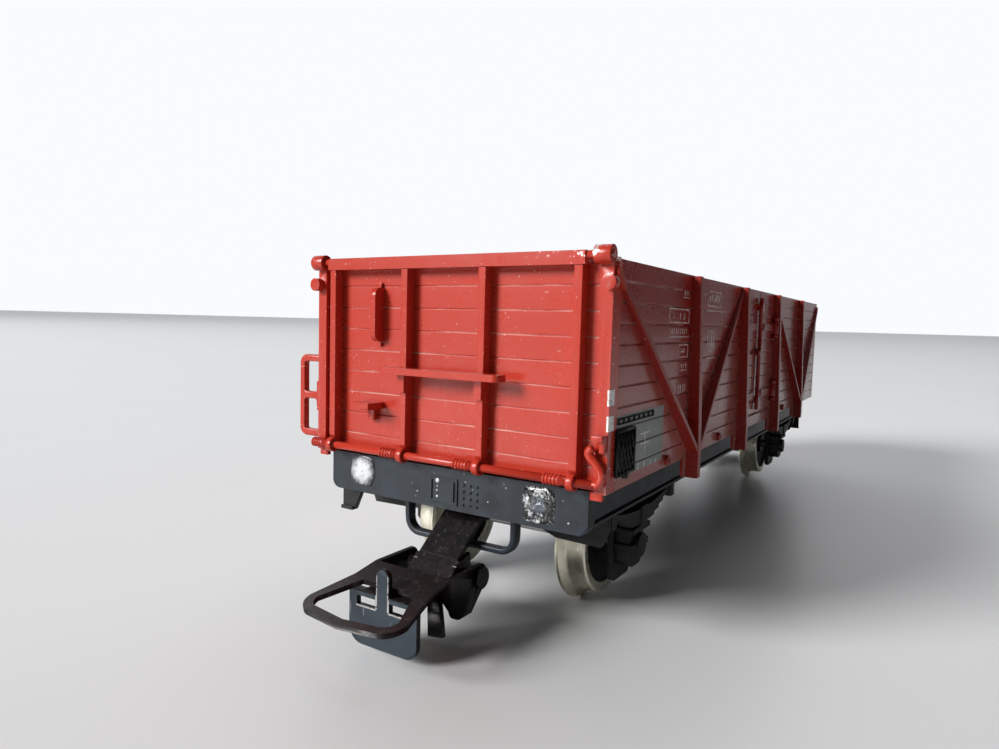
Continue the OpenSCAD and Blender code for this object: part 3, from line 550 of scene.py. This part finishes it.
# %% Boxes and tubes
def add_box(bm, low, high):
    """A box between two opposite corners, given in any order."""
    corners = [(x, y, z) for x in (low[0], high[0]) for y in (low[1], high[1]) for z in (low[2], high[2])]
    verts = [bm.verts.new(Vector(corner) * MM) for corner in corners]
    for face in ((0, 1, 3, 2), (4, 6, 7, 5), (0, 4, 5, 1), (2, 3, 7, 6), (0, 2, 6, 4), (1, 5, 7, 3)):
        bm.faces.new([verts[i] for i in face])


def ring_round(bm, centre, along, side, radius, sides):
    """A ring of points round centre, in the plane across along."""
    other = along.cross(side)
    turns = [2 * math.pi * k / sides for k in range(sides)]
    return [bm.verts.new((centre + (side * math.cos(a) + other * math.sin(a)) * radius) * MM) for a in turns]


def add_tube(bm, points, radius, sides):
    """A closed tube along the points; radius is a number, or a list with one for each point."""
    path = [Vector(p) for p in points]
    radii = radius if isinstance(radius, list) else [radius] * len(path)
    side = (path[1] - path[0]).normalized().orthogonal().normalized()
    rings = []
    for i, centre in enumerate(path):
        along = (path[min(i + 1, len(path) - 1)] - path[max(i - 1, 0)]).normalized()
        side = (side - along * side.dot(along)).normalized()
        rings.append(ring_round(bm, centre, along, side, radii[i], sides))
    for first, second in zip(rings, rings[1:]):
        for k in range(sides):
            n = (k + 1) % sides
            bm.faces.new((first[k], first[n], second[n], second[k]))
    bm.faces.new(rings[0][::-1])
    bm.faces.new(rings[-1])


def piece_from(bm, name, body, material, smooth=True):
    """The mesh as a visible piece that rides on a body."""
    bmesh.ops.recalc_face_normals(bm, faces=bm.faces)
    mesh = bpy.data.meshes.new(name)
    bm.to_mesh(mesh)
    bm.free()
    if smooth:
        mesh.shade_smooth()
    mesh.materials.append(material)
    piece = bpy.data.objects.new(name, mesh)
    bpy.context.scene.collection.objects.link(piece)
    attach(piece, body)
    print("made", name, "with", len(mesh.vertices), "points")
    return piece


print("mesh helpers are ready")

# %% [markdown]
# ## Glue and torn metal
#
# Both buffers at the near end have snapped off. On the left a blob of white glue
# has dried where one was stuck back, and on the right the casting is torn open.
# Their finishes change with the distance from the middle of the break: the glue thins out to the grey of the
# beam, and the torn ring shows black pits with painted highlights as glints, round a grey core with a painted
# sheen.

# %% Finishes of the broken buffers
GLUE_AT, TORN_AT = (-10.1, DECK_Z - 1.6), (9.6, DECK_Z - 1.85)
GLUE, BEAM_GREY, PIT = (0.78, 0.8, 0.82), (0.035, 0.04, 0.045), (0.02, 0.022, 0.025)
TORN_BLACK, TORN_CORE = (0.006, 0.007, 0.008), (0.1, 0.12, 0.145)
CORE_SHINE, GLINT_WHITE = (0.3, 0.33, 0.37), (0.8, 0.82, 0.84)


def distance_from(place, centre):
    """How far the point is, across the face of the beam, from the middle of a broken buffer."""
    across, up = place.x - centre[0], place.z - centre[1]
    return (across.power(2.0) + up.power(2.0)).power(0.5)


def glue_look(shader, place):
    away = distance_from(place, GLUE_AT)
    clumps = place.noise(1.9, detail=6, rough=0.75)
    thick = 1 - (away + clumps * 1.3 - 0.65).ramp(0.75, 1.5)
    pits = place.noise(4.5, detail=3).ramp(0.58, 0.66) * away.ramp(0.5, 1.1)
    tone = blend_colour(thick, BEAM_GREY, GLUE)
    tone = blend_colour(pits, tone, PIT)
    plug(shader, Base_Color=tone, Roughness=clumps * 0.4 + 0.12, Coat_Weight=0.5, Coat_Roughness=0.1)
    plug(shader, Normal=bumped(clumps, 0.3, 0.8))


def torn_look(shader, place):
    away = distance_from(place, TORN_AT)
    lumps = place.noise(1.7, detail=6, rough=0.72)
    fine = place.noise(4.5, detail=4, rough=0.7, shift=3.0)
    ring = away.ramp(0.5, 0.85)
    # Painted highlights: white glints in the torn ring.
    glints = (lumps + fine * 0.5).ramp(0.76, 0.84) * (away.ramp(0.6, 0.85) * 0.85 + 0.15)
    tone = blend_colour(ring, TORN_CORE, TORN_BLACK)
    # Painted sheen: pale streaks on the grey core.
    tone = blend_colour((fine - 0.1).ramp(0.45, 0.55) * (1 - ring) * 0.5, tone, CORE_SHINE)
    tone = blend_colour(glints * 0.9, tone, GLINT_WHITE)
    plug(shader, Base_Color=tone, Roughness=fine * 0.3 + 0.08, Coat_Weight=0.8, Coat_Roughness=0.08)
    plug(shader, Normal=bumped(lumps + fine * 0.4, 0.4, 1.0))


dried_glue = finish_of("dried glue", glue_look)
torn_metal = finish_of("torn casting", torn_look)

# %% [markdown]
# ## Broken buffers
#
# Each break is a low mound on the beam, and a smooth dome would look like a
# button. So the mound is built ring by ring, and noise pushes every point up or
# down and frays the rim. Its outline lies between a circle and a square, like the
# foot of the buffer that was there. The rim and one point behind it are sunk into
# the beam, which closes the mesh and hides where it ends.

# %% Mounds
RINGS, POINTS_ROUND, MOUND_HALF_WIDTH = 12, 48, 1.6
FRAY, RIM_SUNK, BACK_SUNK, LEAST_OUT = 0.14, 0.03, 0.05, 0.02


def mound_point(centre, ring, angle, height, square, seed):
    """One point of a mound; square is 2 for a round outline, and more for a squarer one."""
    c, s = math.cos(angle), math.sin(angle)
    outline = (abs(c) ** square + abs(s) ** square) ** (-1 / square)
    fray = 1 + FRAY * noise.noise(Vector((c * 2.1, s * 2.1, seed)))
    reach = MOUND_HALF_WIDTH * outline * fray * ring / RINGS
    x, z = centre[0] + reach * c, centre[1] + reach * s
    if ring == RINGS:
        return Vector((x, BEAM_FACE + RIM_SUNK, z))
    lump = 0.55 + 0.6 * noise.fractal(Vector((x * 1.3, z * 1.3, seed)), 1.0, 2.0, 4)
    out = height * max(0.12, lump) * (1 - (ring / RINGS) ** 6)
    return Vector((x, BEAM_FACE - max(LEAST_OUT, min(height, out)), z))


def add_mound(name, centre, height, square, material, seed):
    bm = bmesh.new()
    back = bm.verts.new(Vector((centre[0], BEAM_FACE + BACK_SUNK, centre[1])) * MM)
    top = bm.verts.new(Vector((centre[0], BEAM_FACE - height, centre[1])) * MM)
    angles = [2 * math.pi * k / POINTS_ROUND for k in range(POINTS_ROUND)]
    rings = [[bm.verts.new(mound_point(centre, ring, a, height, square, seed) * MM) for a in angles]
             for ring in range(1, RINGS + 1)]
    for k in range(POINTS_ROUND):
        n = (k + 1) % POINTS_ROUND
        bm.faces.new((top, rings[0][n], rings[0][k]))
        for inner, outer in zip(rings, rings[1:]):
            bm.faces.new((inner[k], inner[n], outer[n], outer[k]))
        bm.faces.new((back, rings[-1][k], rings[-1][n]))
    return piece_from(bm, name, "wagon", material)


glue_blob = add_mound("glue_blob", GLUE_AT, 0.3, 3.0, dried_glue, 3.7)
add_mound("torn_buffer", TORN_AT, 0.28, 4.0, torn_metal, 9.2)
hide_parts("buffer_stumps_near")

# %% [markdown]
# ## Drops of paint
#
# A drop of white paint has dried on the middle plate of the beam, with smaller
# ones below it and a few on the beam beside it. A sphere would stand out like a
# bead, so each is a short tube that starts inside the beam and narrows to a low
# rounded top.


# %% Paint drops
def spilt_look(shader, place):
    mottled = place.noise(5.0, detail=4)
    tone = blend_colour(mottled.ramp(0.35, 0.6), (0.34, 0.35, 0.36), (0.7, 0.71, 0.72))
    plug(shader, Base_Color=tone, Roughness=mottled * 0.2 + 0.2, Normal=bumped(mottled, 0.03, 0.4))


# Each drop: across, height over the deck, radius.
DROPS_ON_PLATE = ((-0.82, -1.25, 0.22), (-0.8, -1.75, 0.08), (-0.86, -2.15, 0.1), (-0.83, -2.7, 0.13))
DROPS_ON_BEAM = (
    (2.2, -1.0, 0.07), (4.6, -2.4, 0.08), (-3.2, -2.6, 0.08), (6.4, -0.9, 0.07), (12.4, -2.9, 0.09),
)
# How far in or out each ring lies, and its share of the radius.
DROP_RINGS = ((0.15, 1.0), (-0.02, 1.0), (-0.05, 0.8), (-0.07, 0.4))

bm = bmesh.new()
for drops, face in ((DROPS_ON_PLATE, PLATE_FACE), (DROPS_ON_BEAM, BEAM_FACE)):
    for x, z, radius in drops:
        points = [(x, face + inwards, DECK_Z + z) for inwards, _ in DROP_RINGS]
        add_tube(bm, points, [radius * share for _, share in DROP_RINGS], 14)
spilt_white = finish_of("spilt white paint", spilt_look)
piece_from(bm, "paint_drops", "wagon", spilt_white)

# %% [markdown]
# ## Paint of the printed marks
#
# The side carries small white marks and a grey field for chalk. Printed paint is thin, so it wears off the
# high spots: noise blends the white with the colour under it. The chalk field has the grooves between the
# planks painted on as dark lines of painted shade, because the film that carries it lies flat across them.


# %% Finishes of the marks
def worn_white(shader, place):
    kept = place.noise(2.2, detail=5, rough=0.7).ramp(0.4, 0.62)
    tone = blend_colour(kept, (0.38, 0.17, 0.15), (0.86, 0.76, 0.72))
    plug(shader, Base_Color=tone, Roughness=kept * 0.2 + 0.4)


def bright_white(shader, place):
    kept = place.noise(3.0, detail=4).ramp(0.35, 0.5)
    tone = blend_colour(kept, (0.42, 0.4, 0.39), (0.86, 0.86, 0.85))
    plug(shader, Base_Color=tone, Roughness=kept * 0.2 + 0.4)


def chalk_grey(shader, place):
    rubbed = place.noise(0.8, detail=6, stretch=(1, 0.4, 1)).ramp(0.3, 0.75)
    up_the_plank = ((place.z - DECK_Z) / (WALL_HEIGHT / SIDE_PLANKS)).fraction()
    # Painted shade: dark lines where the grooves between the planks lie under the film.
    groove_shade = (up_the_plank - 0.5).abs().ramp(0.44, 0.47)
    tone = blend_colour(rubbed, (0.22, 0.235, 0.23), (0.36, 0.375, 0.37))
    tone = blend_colour(groove_shade, tone, (0.02, 0.015, 0.015))
    plug(shader, Base_Color=tone, Roughness=rubbed * 0.2 + 0.4)


mark_white = finish_of("mark white", worn_white)
chalk_white = finish_of("chalk white", bright_white)
panel_grey = finish_of("chalk panel grey", chalk_grey)

# %% [markdown]
# ## Films on the sides
#
# A mark could be painted in the material, but its edge would then be only as
# sharp as the noise around it. Here each is a film two hundredths of a millimetre
# thick. A place on a side is given by its distance from the end and its height
# over the deck. Both sides are marked, each from its own end, as if the wagon
# were turned half round.

# %% Helpers for films
FILM = 0.02
LINE = 0.13


def add_film(bm, d0, d1, z0, z1, under=0.0):
    """A film on both sides, from d0 to d1 along them and z0 to z1 up them, over what lies under it."""
    for turn in (1, -1):
        low = (turn * (HALF_WIDTH + under), turn * (d0 - END_Y), DECK_Z + z0)
        high = (turn * (HALF_WIDTH + under + FILM), turn * (d1 - END_Y), DECK_Z + z1)
        add_box(bm, low, high)


def add_frame(bm, d0, d1, z0, z1):
    """A rectangle drawn with lines."""
    add_film(bm, d0, d1, z1 - LINE, z1)
    add_film(bm, d0, d1, z0, z0 + LINE)
    add_film(bm, d0, d0 + LINE, z0 + LINE, z1 - LINE)
    add_film(bm, d1 - LINE, d1, z0 + LINE, z1 - LINE)


def add_strokes(bm, starts, width, z0, z1):
    """Upright strokes in a row, one from each distance in starts."""
    for d in starts:
        add_film(bm, d, d + width, z0, z1)


print("film", FILM, "mm thick, lines", LINE, "mm wide")

# %% [markdown]
# ## Marks beside the ribs
#
# The real wagon has lettering here. None is copied: plain frames, strokes and
# bars stand for it, at the places and about the size of the real blocks.

# %% White marks
bm = bmesh.new()

# Left of the first upright rib, from the top down.
add_strokes(bm, (17.2, 17.8, 18.4), 0.25, 16.2, 16.65)
add_film(bm, 16.8, 18.9, 15.95, 16.05)
add_frame(bm, 13.0, 18.9, 13.5, 14.9)
for k, d in enumerate((14.2, 16.1, 17.2, 17.8)):
    add_film(bm, d, d + LINE, 13.9 - 0.04 * k, 14.45)
add_strokes(bm, [13.2 + 0.62 * k for k in range(9)], 0.18, 12.5, 13.0)
add_film(bm, 13.1, 18.9, 12.15, 12.28)
add_frame(bm, 16.05, 18.9, 10.2, 11.5)
add_film(bm, 16.7, 18.0, 10.95, 11.05)
add_film(bm, 16.7, 18.0, 10.7, 10.85)
add_strokes(bm, (17.0, 17.6, 18.3), 0.3, 9.2, 9.6)
add_film(bm, 16.6, 18.9, 8.9, 9.02)
for k, d in enumerate((16.4, 17.0, 17.7, 18.3)):
    add_film(bm, d, d + 0.28, 6.6 + 0.1 * k, 7.6)

# Right of it.
add_frame(bm, 25.3, 30.3, 15.4, 17.1)
add_strokes(bm, [25.9 + 0.7 * k for k in range(6)], 0.3, 15.9, 16.7)
add_film(bm, 25.0, 31.0, 14.9, 15.03)
add_strokes(bm, [25.4 + 0.75 * k for k in range(4)], 0.4, 10.6, 12.9)
add_film(bm, 25.3, 28.9, 9.85, 9.98)
piece_from(bm, "side_marks", "wagon", mark_white, smooth=False)

# %% [markdown]
# ## Chalk field
#
# Next to the corner post a grey field takes chalk notes. Two crosses and a row of
# ticks are left on it. The ticks are printed on top of the grey, so they start
# from the thickness of its film.

# %% Chalk field and chalk marks
FIELD = (1.62, 12.5, 0.95, 6.0)
CROSSES = ((6.7, 9.1, 3.92, 4.02), (7.82, 7.95, 3.5, 4.4), (6.9, 9.1, 3.05, 3.15), (7.9, 8.03, 2.4, 3.4))
TICKS = ((6.5, 1.55), (7.85, 1.5), (9.45, 1.4), (10.8, 1.3))
TICK_FOOT, TICK_WIDTH = 0.98, 0.12

bm = bmesh.new()
add_film(bm, *FIELD)
piece_from(bm, "chalk_panels", "wagon", panel_grey, smooth=False)

bm = bmesh.new()
for stroke in CROSSES:
    add_film(bm, *stroke, under=FILM)
for d, top in TICKS:
    add_film(bm, d, d + TICK_WIDTH, TICK_FOOT, top, under=FILM)
piece_from(bm, "chalk_marks", "wagon", chalk_white, smooth=False)

# %% [markdown]
# ## White patches on the corner post
#
# Two small white patches are painted round the foot of the post at the near
# right corner. Each is two films, one on the side and one on the end.

# %% Corner patches
bm = bmesh.new()
for z0, z1 in ((6.95, 8.2), (4.95, 6.15)):
    foot, top = DECK_Z + z0, DECK_Z + z1
    add_box(bm, (HALF_WIDTH, -END_Y + FILM, foot), (HALF_WIDTH + FILM, -END_Y + 0.95, top))
    add_box(bm, (HALF_WIDTH - 0.16, -END_Y - FILM, foot), (HALF_WIDTH - FILM, -END_Y, top))
piece_from(bm, "corner_patches", "wagon", chalk_white, smooth=False)

# %% [markdown]
# ## Bars of the label board
#
# A black wire grille holds the waybill at the left end of each side. Crossing
# bars in front of a dark backing give real gaps that the light falls through,
# which a pattern painted on a flat board wouldn't. Each slanting bar is worked
# out as if it ran from the bottom to the top, and is then cut at the frame.

# %% Bars of the lattice
BOARD_LOW, BOARD_HIGH = Vector((1.4, 1.25)), Vector((5.05, 4.8))
BAR_RUN, BAR_STEP, BARS = 1.6, 0.72, 8
FRAME_OUT, BAR_OUT, RAIL_OUT = 0.2, 0.24, 0.1


def side_point(turn, place, out):
    """A point over a side, from its distance from the end and its height over the deck."""
    d, z = place
    return Vector((turn * (HALF_WIDTH + out), turn * (d - END_Y), DECK_Z + z))


def lattice_bar(start, leans_back):
    """The ends of one slanting bar, cut off at the frame, or None if hardly any is left."""
    foot, head = Vector((start, BOARD_LOW.y)), Vector((start + BAR_RUN, BOARD_HIGH.y))
    if leans_back:
        foot.x, head.x = head.x, foot.x
    run = head.x - foot.x
    cuts = sorted(((BOARD_LOW.x - foot.x) / run, (BOARD_HIGH.x - foot.x) / run))
    enters, leaves = (min(1.0, max(0.0, cut)) for cut in cuts)
    if leaves - enters <= 0.1:
        return None
    return foot.lerp(head, enters), foot.lerp(head, leaves)


starts = [BOARD_LOW.x - BAR_RUN + BAR_STEP * k for k in range(BARS)]
lattice = [lattice_bar(start, leans_back) for start in starts for leans_back in (True, False)]
lattice = [bar for bar in lattice if bar]
print(len(lattice), "bars in each lattice")

# %% [markdown]
# ## Label boards
#
# The board is a frame, the lattice, a backing and a boss below it. Above it runs
# a clip rail: two long wires joined by short staples.

# %% Label boards
CLIP_FROM, CLIP_TO, CLIP_HEIGHTS = 1.65, 9.7, (5.35, 5.75)
STAPLES, STAPLE_STEP = 8, 1.1

bm = bmesh.new()
for turn in (1, -1):
    corners = [(BOARD_LOW.x, BOARD_LOW.y), (BOARD_HIGH.x, BOARD_LOW.y),
               (BOARD_HIGH.x, BOARD_HIGH.y), (BOARD_LOW.x, BOARD_HIGH.y)]
    for a, b in zip(corners, corners[1:] + corners[:1]):
        add_tube(bm, [side_point(turn, a, FRAME_OUT), side_point(turn, b, FRAME_OUT)], 0.14, 6)
    for foot, head in lattice:
        add_tube(bm, [side_point(turn, foot, BAR_OUT), side_point(turn, head, BAR_OUT)], 0.075, 6)
    add_box(bm, side_point(turn, BOARD_LOW, 0), side_point(turn, BOARD_HIGH, 0.08))
    for z in CLIP_HEIGHTS:
        ends = [side_point(turn, (d, z), RAIL_OUT) for d in (CLIP_FROM, CLIP_TO)]
        add_tube(bm, ends, 0.07, 6)
    for k in range(STAPLES):
        ends = [side_point(turn, (1.8 + STAPLE_STEP * k, z), RAIL_OUT) for z in (5.3, 5.8)]
        add_tube(bm, ends, 0.09, 6)
    add_tube(bm, [side_point(turn, (3.3, 1.1), out) for out in (0.0, 0.38)], 0.3, 12)
boards = piece_from(bm, "label_lattices", "wagon", step_black)
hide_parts("label_boards")

# %% [markdown]
# ## Lock shaft
#
# A shaft along the foot of the end flap locks it, and carries a ribbed sleeve
# beside each of its four bearings. A rib is a short tube that swells in the
# middle. The shaft turns in its bearings, so all of it rides on the lock's body.

# %% Shaft and sleeves
SHAFT_Y, SHAFT_Z = -END_Y - 0.62, DECK_Z + 0.78
SHAFT_RADIUS, SLEEVE_RADIUS, SHAFT_SIDES, SLEEVE_SIDES = 0.36, 0.41, 16, 18
BEARINGS = (-13.1, -4.2, 4.2, 13.1)
RIBS, RIB_STEP = 5, 0.33
RIB_OUTLINE = ((-0.11, 0.4), (-0.07, 0.475), (0.07, 0.475), (0.11, 0.4))


def on_shaft(x, out=0.0, up=0.0):
    """A point on the shaft's middle line, or out from it and up."""
    return (x, SHAFT_Y - out, SHAFT_Z + up)


bm = bmesh.new()
add_tube(bm, [on_shaft(-15.6), on_shaft(15.1)], SHAFT_RADIUS, SHAFT_SIDES)
for x in BEARINGS:
    add_tube(bm, [on_shaft(x - 2.5), on_shaft(x - 0.3)], SLEEVE_RADIUS, SLEEVE_SIDES)
    for k in range(RIBS):
        middle = x - 2.4 + RIB_STEP * k
        points = [on_shaft(middle + along) for along, _ in RIB_OUTLINE]
        add_tube(bm, points, [radius for _, radius in RIB_OUTLINE], SLEEVE_SIDES)
print("shaft and", len(BEARINGS) * RIBS, "ribs")

# %% [markdown]
# ## Locking lever
#
# The lever at the end of the shaft is bent from the same wire. Straight rods
# would show a corner at each bend, so the lever is a tube along a smooth curve
# through a few points, which gives its S shape, and it thins out towards its tip.


# %% Lever
def smooth_path(points, steps=8):
    """A Catmull-Rom curve through the points."""
    pts = [Vector(p) for p in points]
    pts = [2 * pts[0] - pts[1]] + pts + [2 * pts[-1] - pts[-2]]
    path = []
    for a, b, c, d in zip(pts, pts[1:], pts[2:], pts[3:]):
        for t in (k / steps for k in range(steps)):
            line, bow, twist = c - a, 2 * a - 5 * b + 4 * c - d, 3 * b - a - 3 * c + d
            path.append(0.5 * (2 * b + line * t + bow * t * t + twist * t ** 3))
    path.append(pts[-2])
    return path


lever = smooth_path([
    on_shaft(14.9), on_shaft(15.35, up=0.15), on_shaft(15.62, 0.05, 0.85), on_shaft(15.25, 0.05, 1.55),
    on_shaft(14.62, 0.05, 2.2), on_shaft(14.5, 0.05, 2.6), on_shaft(14.85, 0.05, 2.97),
])
tip = [0.35, 0.3, 0.2]
add_tube(bm, lever, [SHAFT_RADIUS] * (len(lever) - len(tip)) + tip, 14)
shaft = piece_from(bm, "lock_shaft_wire", "flap_lock", red_paint)
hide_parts("lock_shaft")

# %% [markdown]
# ## Floor
#
# The wagon stands on a plain pale floor, large enough that its edge is the
# horizon. It isn't part of the wagon, so it is staged and doesn't ride.


# %% Floor
def floor_look(shader, place):
    tone = blend_colour(place.noise(0.02, detail=2), (0.72, 0.72, 0.72), (0.76, 0.76, 0.76))
    plug(shader, Base_Color=tone, Roughness=0.35)


bpy.ops.mesh.primitive_plane_add(size=40, location=(0, 0, 0))
floor = bpy.context.object
floor.name = "floor"
floor.data.materials.append(finish_of("pale floor", floor_look))
print("floor", floor.dimensions[:])

# %% [markdown]
# ## Light
#
# One large soft lamp stands in front of the near end, to its left, so the end is
# bright and the long side lies in its own shade. The world is a pale room that
# lights the wagon only from behind on the left, because light from all round
# would turn the shaded side from deep red to grey. The camera still sees all of
# the room pale: a Light Path node tells what the camera sees from what the
# surfaces see.

# %% Lamp and room
LAMP_AT, LAMP_AIM, LAMP_SIZE, LAMP_WATTS = (-1.5, -2.3, 1.3), (0, -0.05, 0.02), 1.2, 132.0
ROOM_COLOUR = (0.95, 0.97, 1.0)
ROOM_DARK_PART = 0.955

lamp_data = bpy.data.lights.new("key", "AREA")
lamp_data.shape, lamp_data.size, lamp_data.energy = "DISK", LAMP_SIZE, LAMP_WATTS
lamp = bpy.data.objects.new("key", lamp_data)
lamp.location = LAMP_AT
lamp.rotation_euler = (Vector(LAMP_AIM) - Vector(LAMP_AT)).to_track_quat("-Z", "Y").to_euler()
bpy.context.scene.collection.objects.link(lamp)

world = bpy.data.worlds.new("pale room")
world.use_nodes = True
room = world.node_tree
heading = make_node(room, "ShaderNodeTexCoord", out="Generated")
to_right, to_back = (make_node(room, "ShaderNodeSeparateXYZ", inputs={0: heading}, out=axis) for axis in "XY")
dark_part = to_right.ramp(0.08, 0.25).most(1 - to_back.ramp(-0.1, 0.3))
seen_by_camera = make_node(room, "ShaderNodeLightPath", out="Is Camera Ray")
background = room.nodes["Background"]
background.inputs["Color"].default_value = (*ROOM_COLOUR, 1)
plug(background, Strength=(1 - dark_part * ROOM_DARK_PART).most(seen_by_camera))
bpy.context.scene.world = world
bpy.context.scene.view_settings.view_transform = "Standard"
print("lit by", lamp.name, "and", world.name)

# %% [markdown]
# ## Camera
#
# The camera stands close to the near right corner, a little below the rim, so
# the end is seen nearly full and the long side runs away fast. Its aim is built
# from the angle that it is turned, the angle that it looks down and a slight
# roll, because three such angles are easier to set than a rotation.

# %% Camera
CAMERA_AT = (36.96, -99.55, 27.57)
TURNED, LOOKS_DOWN, ROLL = (math.radians(angle) for angle in (32.257, 4.288, 1.497))
LENS, SENSOR = 25.166, 36.0

camera_data = bpy.data.cameras.new("camera")
camera_data.sensor_width, camera_data.lens = SENSOR, LENS
camera_data.clip_start, camera_data.clip_end = 0.001, 20.0
camera = bpy.data.objects.new("camera", camera_data)
camera.location = Vector(CAMERA_AT) * MM
flat = math.cos(LOOKS_DOWN)
ahead = Vector((-math.sin(TURNED) * flat, math.cos(TURNED) * flat, -math.sin(LOOKS_DOWN)))
camera.rotation_mode = "QUATERNION"
camera.rotation_quaternion = ahead.to_track_quat("-Z", "Y") @ Matrix.Rotation(ROLL, 3, "Z").to_quaternion()
bpy.context.scene.collection.objects.link(camera)
bpy.context.scene.camera = camera
print("camera", camera.location[:], "lens", round(camera_data.lens, 2))
